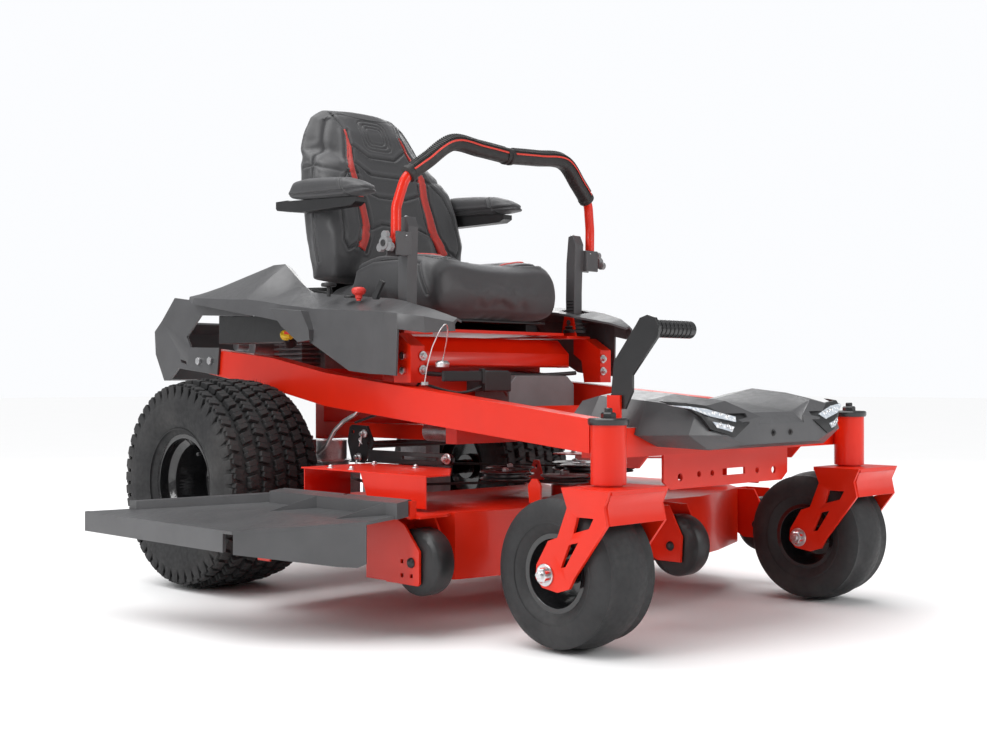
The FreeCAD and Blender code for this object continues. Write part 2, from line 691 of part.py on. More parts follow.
def drive_controls():
    """Motion-control arms, lap bars with their grips, and the adjusting knobs."""
    outer = "-arm_x - arm_thickness / 2"
    inner = "-arm_x + arm_thickness / 2"
    arm = plate("YZ", [(-594, 712), (-562, 712), (-560, 800), (-562, 900), (-570, 978), (-588, 981),
                       (-600, 955), (-597, 900), (-594, 815)], outer, inner)
    boss = rod("X", 8, inner, "%s + 9" % inner, "arm_pivot_y", "arm_pivot_height")
    bracket = block("-bar_x + 24", outer, "swing_y - 20", "swing_y + 20", 878, 938)
    cheeks = [block("-bar_x - 15", outer, "swing_y + %g" % low, "swing_y + %g" % (low + 5), 878, 938)
              for low in (-20, 15)]
    pin = rod("Y", 6, "swing_y - 15", "swing_y + 15", "-bar_x", "swing_height")
    pair("drive_arm", fuse(arm, boss, bracket, *cheeks), pin)
    lower_bar = [("-bar_x", "swing_y", "swing_height"), ("-bar_x", "swing_y - 1", 1000),
                 (-350, -604, 1078), (-290, -617, 1122)]
    bar = bent_rod(lower_bar, "bar_radius", 70)
    yoke = rod("Y", "bar_radius + 1", "swing_y - 14", "swing_y + 14", "-bar_x", "swing_height")
    knob_seat = rod("X", 9, "-bar_x - 16", "-bar_x", "swing_y", "knob_height")
    eye = rod("Y", "6 + running_gap", "swing_y - 30", "swing_y + 30", "-bar_x", "swing_height")
    pair("lap_bar", cut(fuse(bar, yoke, knob_seat), eye))
    grip_route = [(-343, -605.5, 1083.1), (-290, -617, 1122), (-213, -629, 1175), (-110, -626, 1173),
                  (-8, -621, 1168)]
    grip = bent_rod(grip_route, "grip_radius", 45)
    pair("lap_bar_grip", cut(grip, bent_rod(lower_bar, "bar_radius", 70)))
    lobes = []
    for number in range(3):
        angle = math.radians(90 + 120 * number)
        lobes.append(rod("X", 11, "-knob_x - 6", "-knob_x + 6",
                         "swing_y + %.3f" % (20 * math.cos(angle)),
                         "knob_height + %.3f" % (20 * math.sin(angle))))
    middle = rod("X", 17, "-knob_x - 8", "-knob_x + 8", "swing_y", "knob_height")
    stud = rod("X", 5, "-knob_x + 8", "-bar_x - 16.3", "swing_y", "knob_height")
    pair("adjust_knob", fuse(middle, stud, *lobes))


def console_controls():
    """Blade switch knob, throttle lever and pedal."""
    knob = turned("Z", [(0, 0), (0, 9), (8, 9), (14, 17), (22, 19), (28, 15), (30, 8), (30, 0)],
                  -388, -466, 774)
    knob_stem = rod("Z", 6, 768, 774, -388, -466)
    node("pto_knob", fuse(knob, knob_stem))
    lever = plate("YZ", [(-554, 770), (-540, 770), (-554, 798), (-568, 816), (-582, 810), (-570, 794)],
                  -404, -396)
    hub = rod("X", 8, -404, -390, -546, 776)
    node("throttle_lever", fuse(lever, hub))
    arm = plate("YZ", [(-1352, 503), (-1318, 503), (-1314, 530), (-1322, 604), (-1382, 680),
                       (-1392, 694), (-1412, 700), (-1432, 694), (-1444, 676), (-1440, 654),
                       (-1372, 574), (-1372, 540)],
                "-pedal_x", "-pedal_x + 8", holes=[("pedal_y", "pedal_height", "8 + running_gap")])
    peg_y, peg_z = -1412, 672
    peg = rod("X", 19, "-pedal_x + 8", "-pedal_x + 146", peg_y, peg_z)
    grooves = [ring("X", 22, 17, low, low + 4, peg_y, peg_z) for low in range(-366, -254, 14)]
    node("lift_pedal", fuse(arm, cut(peg, *grooves)))


# ---------------------------------------------------------------- seat

def padded_loft(levels):
    """A padded solid through levels: height, rear and front half widths, front, shoulder and rear."""
    wires = []
    for height, half, front_half, front, shoulder, rear in levels:
        corners = [(6 - half, rear), (-half, rear - 8), (-half, shoulder), (-front_half, front),
                   (front_half, front), (half, shoulder), (half, rear - 8), (half - 6, rear)]
        wires.append(Part.makePolygon(vectors([(x, y, height) for x, y in corners + corners[:1]])))
    return feature(Part.makeLoft(wires, True, True))


def seat():
    """Seat: slide frame, cushion, back, and an armrest each side."""
    runners = [block(side * 180 - 22, side * 180 + 22, -540, -150, 698.3, 721.5) for side in (-1, 1)]
    pan = block(-215, 215, -560, -130, 721.5, 727)
    spine = plate("YZ", [(-134, 721.5), (-56, 721.5), (18, 1180), (10, 1182), (-68, 740), (-72, 727),
                         (-134, 727)], -150, 150)
    node("seat_slide_frame", fuse(pan, spine, *runners))
    node("seat_cushion", cushion([(-600, 727.4), (-610, 850), (-590, 893), (-520, 910), (-330, 918),
                                  (-235, 893), (-216, 840), (-112, 840), (-112, 727.4)],
                                 SIZES["cushion_half_width"], 24))
    half = SIZES["seat_half_width"]
    node("seat_back", padded_loft([(844, half - 4, half - 14, -196, -186, -51),
                                   (970, half, half - 10, -204, -194, -29),
                                   (1134, half, half - 10, -146, -136, 0),
                                   (1190, half - 4, half - 50, -118, -70, 9.5),
                                   (1235, half - 12, half - 112, -88, -10, 22),
                                   (1295, half - 37, half - 137, -62, 10, 38),
                                   (1358, half - 82, half - 152, -14, 20, 52),
                                   (1372, half - 102, half - 157, 10, 25, 48)]))
    bracket = plate("YZ", [(-345, 1045), (-325, 1036), (-100, 1036), (10, 1050), (16, 1056), (16, 1076),
                           (-40, 1076), (-45, 1073.8), (-345, 1058.7)],
                    "-armrest_x - 18", "-armrest_x + 18")
    pivot = rod("X", 9, "-armrest_x + 18", "-seat_half_width - 0.5", "armrest_pivot_y",
                "armrest_pivot_height")
    pair("armrest_bracket", fuse(bracket, pivot))
    pad_outline = [(-384, 1062), (-396, 1078), (-352, 1104), (-300, 1121), (-133, 1136), (-70, 1132),
                   (-48, 1104), (-46, 1074.1), (-366, 1058)]
    pad = cushion(pad_outline, SIZES["pad_half_width"], 10, -SIZES["armrest_x"])
    pair("armrest_pad", pad)


# ---------------------------------------------------------------- deck

def grown(outline, gap):
    """The outline moved outwards by gap (inwards when gap is negative), corners kept sharp."""
    flat = [(size(x), size(y)) for x, y in outline]
    face = Part.Face(Part.makePolygon([Vector(x, y, 0) for x, y in flat + flat[:1]]))
    return face.makeOffset2D(gap, 2, False, False)


SPINDLES = [("-spindle_x", "side_spindle_y"), (0, "centre_spindle_y"), ("spindle_x", "side_spindle_y")]
ROLLERS = [(-602, -956), (40, -1169), (600, -1034)]


def deck():
    """Pressed deck shell open underneath, its covers, chute, spindles, belt and rollers."""
    side = SIZES["deck_side"]
    outline = [(-side, -880), (-548, -880), (-524, -972), (-398, -996), (-100, -1058), (120, -1098),
               (210, -1104), (330, -1074), (524, -1000), (622, -890), (side, -760), (side, -480),
               (560, -398), (320, -380), (180, -520), (-180, -520), (-320, -380), (-side, -380)]
    outer = Part.Face(Part.makePolygon(vectors([(x, y, SIZES["deck_bottom"]) for x, y in
                                                outline + outline[:1]])))
    height = SIZES["deck_top"] - SIZES["deck_bottom"]
    shell = outer.extrude(Vector(0, 0, height))
    inner = grown(outline, -SIZES["deck_sheet"])
    inner.translate(Vector(0, 0, SIZES["deck_bottom"] - 1))
    shell = shell.cut(inner.extrude(Vector(0, 0, height - SIZES["deck_sheet"] + 1)))
    skin = cut(feature(shell), block(-side - 1, -side + 20, -802, -430, 100, "deck_top - 16"))
    towers = []
    bores = []
    for x, y in SPINDLES:
        towers.append(rod("Z", 52, "deck_top - 30", "deck_top", x, y))
        towers.append(rod("Z", 34, "deck_top", "pulley_bottom - 6", x, y))
        bores.append(rod("Z", "spindle_radius + running_gap", "deck_top - 40", "pulley_bottom", x, y))
    brackets = []
    for x, y in ROLLERS:
        for edge in (-1, 1):
            low = edge * 35.5 - 3 + x
            outline = [(y + 84, 262), (y + 84, 150), (y + 40, 128), (y - 30, 128), (y - 34, 190),
                       (y + 6, 262)]
            holes = []
            if low < -side:
                outline = [(y + 84, 262), (y + 84, 116), (y - 20, 116), (y - 25, 121), (y - 25, 191),
                           (y + 25, 247), (y + 60, 262)]
                holes = [[(u - 4.5, v - 4.5), (u + 4.5, v - 4.5), (u + 4.5, v + 4.5), (u - 4.5, v + 4.5)]
                         for u, v in ((y + 31, 166), (y + 31, 135), (y, 136))]
            brackets.append(plate("YZ", outline, low, low + 6, holes=holes))
        brackets.append(block(x - 38, x + 38, y + 78, y + 84, 200, 262))
    wing = plate("XY", [(-side, -878), (-side, -984), (-560, -984), (-530, -965), (-540, -878)],
                 "deck_top - 6", "deck_top")
    hangers = [plate("YZ", [(-480, 268), (-420, 268), (-440, 330), (-460, 330)], x, x + 6,
                     holes=[(-450, 312, 6)]) for x in (-300, 294)]
    ties = [block(-608, -560, -882, -876, 200, 262), block(566, 600, -956, -912, 200, 262),
            block(6, 74, -1092, -1080, 200, 262)]
    hinge = rod("Y", 6, -970, -490, -side - 8, "chute_hinge_height")
    lugs = [block(-side - 15.6, -side + 4, y, y + 8, 262, 301) for y in (-968, -746, -500)]
    node("deck_shell", cut(fuse(cut(fuse(skin, *towers), *bores), *hangers, *ties, *brackets, wing,
                                *lugs, hinge), *[rod("X", 5.1, x - 60, x + 60, y, 165)
                                                 for x, y in ROLLERS]))
    cover = plate("XY", [(-575, -470), (-575, -930), (-500, -930), (-345, -770), (-345, -470)],
                  346, 350)
    cover_face = plate("YZ", [(-930, 346), (-930, 275), (-732, 275), (-700, 346)], -575, -571)
    end_wall = block(-575, -430, -486, -482, 268.2, 346)
    foot = block(-575, -540, -500, -486, 268.2, 272)
    right = fuse(cover, cover_face, end_wall, foot)
    node("deck_belt_cover", right, mirrored(right))


def spindles():
    """Blade spindles: shaft, pulley and blade."""
    for name, (x, y) in zip(("right", "center", "left"), SPINDLES):
        shaft = rod("Z", "spindle_radius", "blade_height - 16", "pulley_bottom + 30", x, y)
        nut = hexagon("Z", 30, "blade_height - 24", "blade_height - 16", x, y)
        pulley = turned("Z", [(0, "spindle_radius"), (0, "pulley_radius"), (3, "pulley_radius"),
                              (10, "pulley_radius - 12"), (17, "pulley_radius"), (20, "pulley_radius"),
                              (20, "spindle_radius")], x, y, "pulley_bottom")
        half = "blade_length / 2"
        blade = block("(%s) - %s" % (x, half), "(%s) + %s" % (x, half), "(%s) - 30" % y, "(%s) + 30" % y,
                      "blade_height - 6", "blade_height")
        hole = rod("Z", "spindle_radius", "blade_height - 7", "blade_height + 1", x, y)
        node("blade_spindle_" + name, fuse(shaft, nut), pulley, cut(blade, hole))
    pulley = turned("Z", [(-14, 0), (-14, 16), (0, 16), (0, "engine_pulley_radius"),
                          (3, "engine_pulley_radius"), (10, "engine_pulley_radius - 12"),
                          (17, "engine_pulley_radius"), (20, "engine_pulley_radius"), (20, 60),
                          (80, 60), (80, 12.5), (289.5, 12.5), (289.5, 0)],
                    0, "engine_pulley_y", "pulley_bottom")
    node("pto_pulley", pulley)


def drive_belt():
    """Belt loop round the three spindle pulleys and the engine pulley."""
    depth = 6.5
    wheels = [(size(x), size(y), SIZES["pulley_radius"] - depth) for x, y in SPINDLES]
    wheels.append((0.0, SIZES["engine_pulley_y"], SIZES["engine_pulley_radius"] - depth))

    def loop(extra):
        edges = []
        count = len(wheels)
        tangents = []
        for number in range(count):
            ax, ay, ar = wheels[number]
            bx, by, br = wheels[(number + 1) % count]
            heading = math.atan2(by - ay, bx - ax)
            lean = math.acos((ar - br) / math.hypot(bx - ax, by - ay))
            angle = heading - lean
            spread = Vector(math.cos(angle), math.sin(angle), 0)
            tangents.append((Vector(ax, ay, 0) + spread * (ar + extra),
                             Vector(bx, by, 0) + spread * (br + extra), angle))
        for number in range(count):
            start, end, angle = tangents[number]
            edges.append(Part.LineSegment(start, end).toShape())
            bx, by, br = wheels[(number + 1) % count]
            next_start, next_end, next_angle = tangents[(number + 1) % count]
            while next_angle < angle:
                next_angle += 2 * math.pi
            middle = (angle + next_angle) / 2
            top = Vector(bx, by, 0) + Vector(math.cos(middle), math.sin(middle), 0) * (br + extra)
            edges.append(Part.Arc(end, top, next_start).toShape())
        return Part.Face(Part.Wire(edges))
    belt = loop(9).cut(loop(0.4))
    belt.translate(Vector(0, 0, SIZES["pulley_bottom"] + 7))
    node("deck_belt", feature(belt.extrude(Vector(0, 0, 6))))


def rollers():
    """Anti-scalp rollers, each on a bolt through its bracket."""
    for name, (x, y) in zip(("right", "center", "left"), ROLLERS):
        half = SIZES["roller_width"] / 2
        wheel = turned("X", [(-half, 20), (-half, 62), (-half + 6, 72), (-half + 14, "roller_radius"),
                             (half - 14, "roller_radius"), (half - 6, 72), (half, 62), (half, 20),
                             (half - 10, 18), (half - 10, 5), (-half + 10, 5), (-half + 10, 18)],
                       x, y, 165)
        head = turned("X", [(-47, 0), (-46, 6), (-43, 10), (-39, 11.5), (-38.7, 11.5), (-38.7, 0)],
                      x, y, 165)
        axle = fuse(rod("X", 5, x - 40, x + 44, y, 165), head,
                    hexagon("X", 19, x + 38.7, x + 47, y, 165))
        node("anti_scalp_wheel_" + name, wheel, axle)


def chute():
    """Moulded discharge chute, hinged on the right side of the deck."""
    side = SIZES["deck_side"]
    inner, outer = -side - 20, -948
    inner_top, outer_top = 275, 239

    def raised(x, up=0.0):
        """Height over the chute's sloping top face at this X."""
        return outer_top + (x - outer) * (inner_top - outer_top) / (inner - outer) + up

    def slab(points, high, low):
        """A slab that follows the slope between two heights over the top face."""
        wires = [Part.makePolygon(vectors([(x, y, raised(x, up)) for x, y in points + points[:1]]))
                 for up in (high, low)]
        return feature(Part.makeLoft(wires, True, True))

    plan = [(inner, -968), (inner, -494), (outer, -84), (outer, -724), (-757, -946)]
    pieces = [slab(plan, 0, -7), slab([(outer, -84), (outer, -689), (-940, -689), (-940, -84)], 0, -48),
              slab([(inner, -968), (inner, -502), (inner - 32, -502), (inner - 32, -968)], 28, -7),
              slab([(inner, -530), (inner, -494), (-880, -180), (-880, -212)], 20, -7)]

    def wall_corner(x, z):
        """A corner of the front wall, which hangs under the lid's slanted front edge."""
        return (x, -946 - (x + 757) * 1.168, z)

    wall = [wall_corner(-758, raised(-758, -1)), wall_corner(-946, raised(-946, -1)),
            wall_corner(-946, raised(-946, -50)), wall_corner(-800, 166), wall_corner(-770, 164),
            wall_corner(-758, 172)]
    front = Part.Face(Part.makePolygon(vectors(wall + wall[:1])))
    pieces.append(feature(front.extrude(Vector(4.6, 3.9, 0))))
    for along in (-968, -724):
        rise = [(inner - 4, 0), (inner - 110, 0), (inner - 30, 30), (inner - 4, 30)]
        face = Part.Face(Part.makePolygon(vectors([(x, along - (x - inner) * 1.17, raised(x, up) - 2)
                                                   for x, up in rise + rise[:1]])))
        pieces.append(feature(face.extrude(Vector(9, 8, 0))))
    for low, high in ((-958, -748), (-736, -502)):
        pieces.append(rod("Y", 11, low, high, -side - 8, "chute_hinge_height"))
        pieces.append(block(inner - 4, -side - 10, low, high, "chute_hinge_height - 8",
                            "chute_hinge_height + 8"))
    bore = rod("Y", 6.1, -1000, -480, -side - 8, "chute_hinge_height")
    node("discharge_chute", cut(fuse(*pieces), bore))


def lift_bellcrank():
    """Lift quadrant with its height holes, and the slotted arm that goes forward."""
    quadrant = plate("YZ", [(-346, 440), (-356, 446), (-418, 444), (-446, 397), (-404, 345),
                            (-356, 348), (-338, 400)], -322, -314,
                     holes=[(-360, 427, 6), (-425, 396, 6), (-376, 362, 6)])
    arm = plate("YZ", [(-436, 382), (-745, 382), (-757, 374), (-757, 362), (-745, 353), (-430, 349)],
                -330, -322, holes=[[(-569, 371), (-697, 370), (-697, 362), (-569, 363)]])
    bolt = hexagon("X", 19, -338, -330, -724, 367)
    shaft = rod("X", 10, -314, 314, "lift_pivot_y", "lift_pivot_height")
    node("lift_bellcrank", fuse(quadrant, arm, shaft), bolt)


frame_rails()
front_axle_beam()
foot_deck()
front_cowl()
rear_frame()
rear_bumper()
seat_supports()
seat_front_panel()
fenders()
fuel_tank()
engine()
transaxles()
chassis_fasteners()
tether_cable()
rear_wheels()
casters()
drive_controls()
console_controls()
seat()
deck()
spindles()
drive_belt()
rollers()
chute()
lift_bellcrank()
doc.recompute()

for item in doc.Objects:
    if "Invalid" in item.State or "Error" in item.State:
        raise RuntimeError("%s (%s) failed: %s" % (item.Name, item.Label, item.State))
os.makedirs("parts", exist_ok=True)
for item in NODES:
    if item.Shape.isNull() or not item.Shape.isValid():
        raise RuntimeError(item.Label + " has no valid shape")
    item.Shape.exportStep("parts/%s.step" % item.Label)
whole = Part.makeCompound([item.Shape for item in NODES]).BoundBox
print("nodes %d, box %s" % (len(NODES), whole))
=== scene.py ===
"""The looks of a zero turn mower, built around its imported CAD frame. Lengths are in metres, +Z up."""

import json
import math

import bmesh
import bpy
import numpy as np
from mathutils import Matrix, Vector
from mathutils.bvhtree import BVHTree

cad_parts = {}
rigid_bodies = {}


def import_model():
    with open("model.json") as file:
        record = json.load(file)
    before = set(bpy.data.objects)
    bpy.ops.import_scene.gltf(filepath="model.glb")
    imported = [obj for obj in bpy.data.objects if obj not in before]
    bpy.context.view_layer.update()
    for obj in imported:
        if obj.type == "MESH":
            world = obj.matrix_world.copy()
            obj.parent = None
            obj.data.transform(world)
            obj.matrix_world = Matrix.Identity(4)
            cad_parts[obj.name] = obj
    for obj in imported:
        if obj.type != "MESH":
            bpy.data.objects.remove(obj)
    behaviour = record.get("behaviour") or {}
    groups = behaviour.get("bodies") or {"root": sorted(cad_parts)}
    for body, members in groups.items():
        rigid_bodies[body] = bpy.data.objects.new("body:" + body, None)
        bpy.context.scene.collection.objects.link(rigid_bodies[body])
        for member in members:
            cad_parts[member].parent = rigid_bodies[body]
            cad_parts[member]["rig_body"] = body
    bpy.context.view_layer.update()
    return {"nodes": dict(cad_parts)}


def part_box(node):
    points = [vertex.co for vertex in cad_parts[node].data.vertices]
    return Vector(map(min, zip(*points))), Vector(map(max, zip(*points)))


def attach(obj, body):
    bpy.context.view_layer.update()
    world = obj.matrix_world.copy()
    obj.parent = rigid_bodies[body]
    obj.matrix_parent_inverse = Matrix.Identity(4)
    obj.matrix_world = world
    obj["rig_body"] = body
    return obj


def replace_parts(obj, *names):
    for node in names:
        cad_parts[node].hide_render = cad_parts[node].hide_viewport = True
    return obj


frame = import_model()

MM = 0.001
SIDES = {"right": -1, "left": 1}
UP = (0, 0, 1)


# ---- places, from the frame

def middle(node):
    low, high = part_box(node)
    return (low + high) / 2


def size(node):
    low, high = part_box(node)
    return high - low


AXLE_Y = middle("rear_tyre_right").y
CENTRE_X = (middle("rear_tyre_right").x + middle("rear_tyre_left").x) / 2


def at(x, y, z):
    """A point given in millimetres from the ground under the middle of the rear axle."""
    return Vector((CENTRE_X + x * MM, AXLE_Y + y * MM, z * MM))


# ---- materials

def new_material(name, colour, roughness, **sockets):
    """A Principled material: its own sockets hold every value that is the same all over."""
    material = bpy.data.materials.new(name)
    material.use_nodes = True
    shader = material.node_tree.nodes["Principled BSDF"]
    shader.inputs["Base Color"].default_value = (*colour, 1)
    shader.inputs["Roughness"].default_value = roughness
    for socket, value in sockets.items():
        shader.inputs[socket.replace("_", " ")].default_value = value
    return material


def add(material, kind, links=None, **values):
    """A node of that kind, with its settings or sockets set and its sockets linked."""
    tree = material.node_tree
    made = tree.nodes.new("ShaderNode" + kind)
    for name, value in values.items():
        if hasattr(made, name):
            setattr(made, name, value)
        else:
            made.inputs[name.replace("_", " ")].default_value = value
    for socket, output in (links or {}).items():
        tree.links.new(output, made.inputs[socket])
    return made


def place(material):
    return add(material, "TexCoord").outputs["Object"]


def field(material, scale, detail=3.0, roughness=0.55, stretch=(1, 1, 1)):
    """Soft noise from 0 to 1, scale cells to the metre, stretched along an axis when asked."""
    mapped = add(material, "Mapping", {"Vector": place(material)}, Scale=stretch)
    links = {"Vector": mapped.outputs[0]}
    return add(material, "TexNoise", links, Scale=scale, Detail=detail, Roughness=roughness).outputs[0]


def cells(material, scale, feature="F1"):
    made = add(material, "TexVoronoi", {"Vector": place(material)}, feature=feature, Scale=scale)
    return made.outputs["Distance"]


def span(material, value, low, high, to_low=0.0, to_high=1.0):
    """value from low..high to to_low..to_high, held at both ends."""
    made = add(material, "MapRange", {"Value": value})
    for socket, number in zip(("From Min", "From Max", "To Min", "To Max"), (low, high, to_low, to_high)):
        made.inputs[socket].default_value = number
    return made.outputs[0]


def mix(material, factor, first, second):
    """Colour first, where factor is 0, to colour second, where it is 1."""
    made = add(material, "Mix", data_type="RGBA")
    material.node_tree.links.new(factor, made.inputs["Factor"])
    for socket, colour in ((made.inputs[6], first), (made.inputs[7], second)):
        if isinstance(colour, tuple):
            socket.default_value = (*colour, 1)
        else:
            material.node_tree.links.new(colour, socket)
    return made.outputs[2]


def into(material, socket, output):
    shader = material.node_tree.nodes["Principled BSDF"]
    material.node_tree.links.new(output, shader.inputs[socket])


def bumps(material, *layers):
    """Layers of (height, depth in metres, strength), one on another."""
    normal = None
    for height, depth, strength in layers:
        links = {"Height": height}
        if normal is not None:
            links["Normal"] = normal
        normal = add(material, "Bump", links, Strength=strength, Distance=depth).outputs[0]
    into(material, "Normal", normal)


def edges(material, low, high):
    """1 along outer edges, where handling wears a surface."""
    return span(material, add(material, "NewGeometry").outputs["Pointiness"], low, high)


def tinted(material, colour, scale, detail, span_of, darker, paler):
    """The colour with slow changes of tone."""
    return mix(material, span(material, field(material, scale, detail), *span_of), shade(colour, darker),
               shade(colour, paler))


def uneven(material, roughness, noise, span_of, least, most):
    """Gloss that varies around its mean."""
    into(material, "Roughness", span(material, noise, *span_of, roughness * least, min(1, roughness * most)))


def shade(colour, factor):
    return tuple(min(1.0, part * factor) for part in colour)


def paint(name, colour, roughness=0.3, coat=0.6):
    """Powder coat: orange peel, slow tone changes and a thin film of dust."""
    made = new_material(name, colour, roughness, Coat_Weight=coat, Coat_Roughness=0.12, Specular_IOR_Level=0.35)
    tone = tinted(made, colour, 5, 3.0, (0.3, 0.7), 0.92, 1.05)
    dust = span(made, field(made, 2.5, 7), 0.55, 0.8, 0, 0.06)
    into(made, "Base Color", mix(made, dust, tone, (0.5, 0.36, 0.3)))
    uneven(made, roughness, field(made, 22, 4), (0.3, 0.75), 0.88, 1.2)
    bumps(made, (field(made, 520, 2), 0.00008, 0.12))
    return made


def plastic(name, colour, roughness=0.5, grain=700, depth=0.00035):
    """Moulded plastic: a fine pebble grain, faint flow marks and paler patches."""
    made = new_material(name, colour, roughness, Specular_IOR_Level=0.5)
    tone = tinted(made, colour, 9, 4, (0.3, 0.7), 0.88, 1.12)
    rubbed = span(made, field(made, 3, 7), 0.5, 0.8, 0, 0.15)
    into(made, "Base Color", mix(made, rubbed, tone, shade(colour, 1.7)))
    uneven(made, roughness, field(made, 55, 4), (0.3, 0.7), 0.85, 1.15)
    bumps(made, (cells(made, grain), depth, 0.35), (field(made, grain * 0.4, 3), depth, 0.25))
    return made


def rubber(name, colour, roughness=0.75):
    """Vulcanised rubber: matt, with mould bloom and dust in patches."""
    made = new_material(name, colour, roughness, Specular_IOR_Level=0.4)
    tone = tinted(made, colour, 14, 5, (0.35, 0.75), 0.85, 1.25)
    dust = span(made, field(made, 3.5, 6), 0.5, 0.85, 0, 0.35)
    into(made, "Base Color", mix(made, dust, tone, (0.16, 0.15, 0.14)))
    uneven(made, roughness, field(made, 80, 3), (0.3, 0.7), 0.85, 1.15)
    bumps(made, (field(made, 900, 2), 0.0003, 0.3), (field(made, 120, 4), 0.0006, 0.2))
    return made


def metal(name, colour, roughness=0.3, brushed=(1, 1, 12)):
    """Bare or plated metal: fine brushing, cloudy plating and darker grime."""
    made = new_material(name, colour, roughness, Metallic=1.0)
    into(made, "Base Color", tinted(made, colour, 26, 5, (0.3, 0.75), 0.72, 1.1))
    uneven(made, roughness, field(made, 240, 3, 0.6, brushed), (0.25, 0.75), 0.7, 1.5)
    bumps(made, (field(made, 700, 2, 0.5, brushed), 0.00012, 0.35))
    return made


def vinyl(name, colour, roughness=0.46, perforated=False):
    """Seat cover: leather grain of small cells and creases, a soft sheen, pinholes when perforated, each darkened
    with painted shade.
    """
    made = new_material(name, colour, roughness, Sheen_Weight=0.25, Sheen_Roughness=0.5,
                        Sheen_Tint=(0.8, 0.8, 0.82, 1))
    tone = tinted(made, colour, 7, 4, (0.3, 0.7), 0.84, 1.16)
    wear_and_hole_shade = mix(made, span(made, edges(made, 0.5, 0.58), 0, 1, 0, 0.3), tone, shade(colour, 1.7))
    uneven(made, roughness, field(made, 300, 3), (0.3, 0.7), 0.85, 1.2)
    layers = [(cells(made, 620, "DISTANCE_TO_EDGE"), 0.0004, 0.45), (field(made, 40, 4), 0.0012, 0.3)]
    if perforated:
        # Pinholes: a shallow bump, and a darker red at each one that is painted shade standing for the shade inside
        # the hole.
        pinholes_and_shade = span(made, cells(made, 330), 0.16, 0.3)
        # From here the base colour holds paler worn edges and the painted shade of the pinholes.
        wear_and_hole_shade = mix(made, pinholes_and_shade, shade(colour, 0.35), wear_and_hole_shade)
        layers.append((pinholes_and_shade, 0.0006, 0.5))
    into(made, "Base Color", wear_and_hole_shade)
    bumps(made, *layers)
    return made


def lens(name, colour):
    """Clear polycarbonate over white light-emitting diodes."""
    made = new_material(name, colour, 0.06, Coat_Weight=1.0, Coat_Roughness=0.03)
    into(made, "Base Color", mix(made, span(made, cells(made, 90), 0.1, 0.5), (1, 1, 1), (0.55, 0.6, 0.66)))
    bumps(made, (field(made, 160, 2), 0.0004, 0.2))
    return made


SLOTS = {
    # record slot: (maker, colour, the maker's other settings)
    "orange_red_paint": (paint, (0.72, 0.018, 0.002), 0.34, 0.2),
    "black_paint": (paint, (0.018, 0.018, 0.019), 0.32, 0.4),
    "charcoal_plastic": (plastic, (0.075, 0.075, 0.078), 0.34),
    "black_plastic": (plastic, (0.017, 0.017, 0.018), 0.42),
    "rear_tyre_rubber": (rubber, (0.02, 0.02, 0.021)),
    "front_tyre_rubber": (rubber, (0.024, 0.024, 0.025), 0.6),
    "black_rim": (paint, (0.012, 0.012, 0.013), 0.2, 0.8),
    "grip_rubber": (rubber, (0.022, 0.021, 0.021), 0.55),
    "seat_vinyl": (vinyl, (0.036, 0.036, 0.038)),
    "grey_plastic": (plastic, (0.2, 0.2, 0.205), 0.42),
    "red_plastic": (plastic, (0.62, 0.03, 0.02), 0.4),
    "yellow_plastic": (plastic, (0.86, 0.55, 0.03), 0.4),
    "zinc_steel": (metal, (0.72, 0.72, 0.73), 0.28),
    "cast_metal": (metal, (0.33, 0.33, 0.34), 0.5, (1, 1, 1)),
    "belt_rubber": (rubber, (0.02, 0.02, 0.02), 0.7),
    "lamp_lens": (lens, (0.92, 0.95, 1.0)),
}
ACCENTS = {
    "accent_vinyl": (vinyl, (0.4, 0.018, 0.01), 0.5, True),
    "thread": (rubber, (0.06, 0.06, 0.062), 0.8),
    "piping": (vinyl, (0.02, 0.02, 0.021), 0.4),
    "pinstripe": (plastic, (0.7, 0.05, 0.03), 0.4),
}
MATERIALS = {name: maker(name, *settings) for name, (maker, *settings) in {**SLOTS, **ACCENTS}.items()}


def finish(piece, body, slot, material=None):
    """Gives a piece its material, the one of its slot unless another is given, and lets it ride on a body."""
    piece.data.materials.clear()
    piece.data.materials.append(material or MATERIALS[slot])
    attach(piece, body)
    return piece


# ---- mesh helpers

def new_piece(name, mesh_or_bmesh, smooth_angle=40):
    """An object of that mesh, smooth except at edges sharper than smooth_angle."""
    mesh = mesh_or_bmesh
    if isinstance(mesh, bmesh.types.BMesh):
        mesh = bpy.data.meshes.new(name)
        mesh_or_bmesh.normal_update()
        mesh_or_bmesh.to_mesh(mesh)
        mesh_or_bmesh.free()
    mesh.name = name
    mesh.polygons.foreach_set("use_smooth", [True] * len(mesh.polygons))
    mesh.set_sharp_from_angle(angle=math.radians(smooth_angle))
    piece = bpy.data.objects.new(name, mesh)
    bpy.context.scene.collection.objects.link(piece)
    return piece


def put(name, work, body, slot, smooth_angle=30, material=None):
    """A piece made from that mesh, finished and riding on its body."""
    return finish(new_piece(name, work, smooth_angle), body, slot, material)


def instead(piece, node, body, slot):
    """A finished piece that stands for a CAD node."""
    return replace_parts(finish(piece, body, slot), node)


def bevel(piece, width, segments=2, angle=35):
    made = piece.modifiers.new("edges", "BEVEL")
    made.width = width
    made.segments = segments
    made.limit_method = "ANGLE"
    made.angle_limit = math.radians(angle)
    made.use_clamp_overlap = True
    made.harden_normals = True
    made.miter_outer = "MITER_ARC"
    return piece


def applied(piece):
    """The piece's mesh with its modifiers in it, which it then keeps without them."""
    graph = bpy.context.evaluated_depsgraph_get()
    mesh = bpy.data.meshes.new_from_object(piece.evaluated_get(graph))
    piece.modifiers.clear()
    piece.data = mesh
    return piece


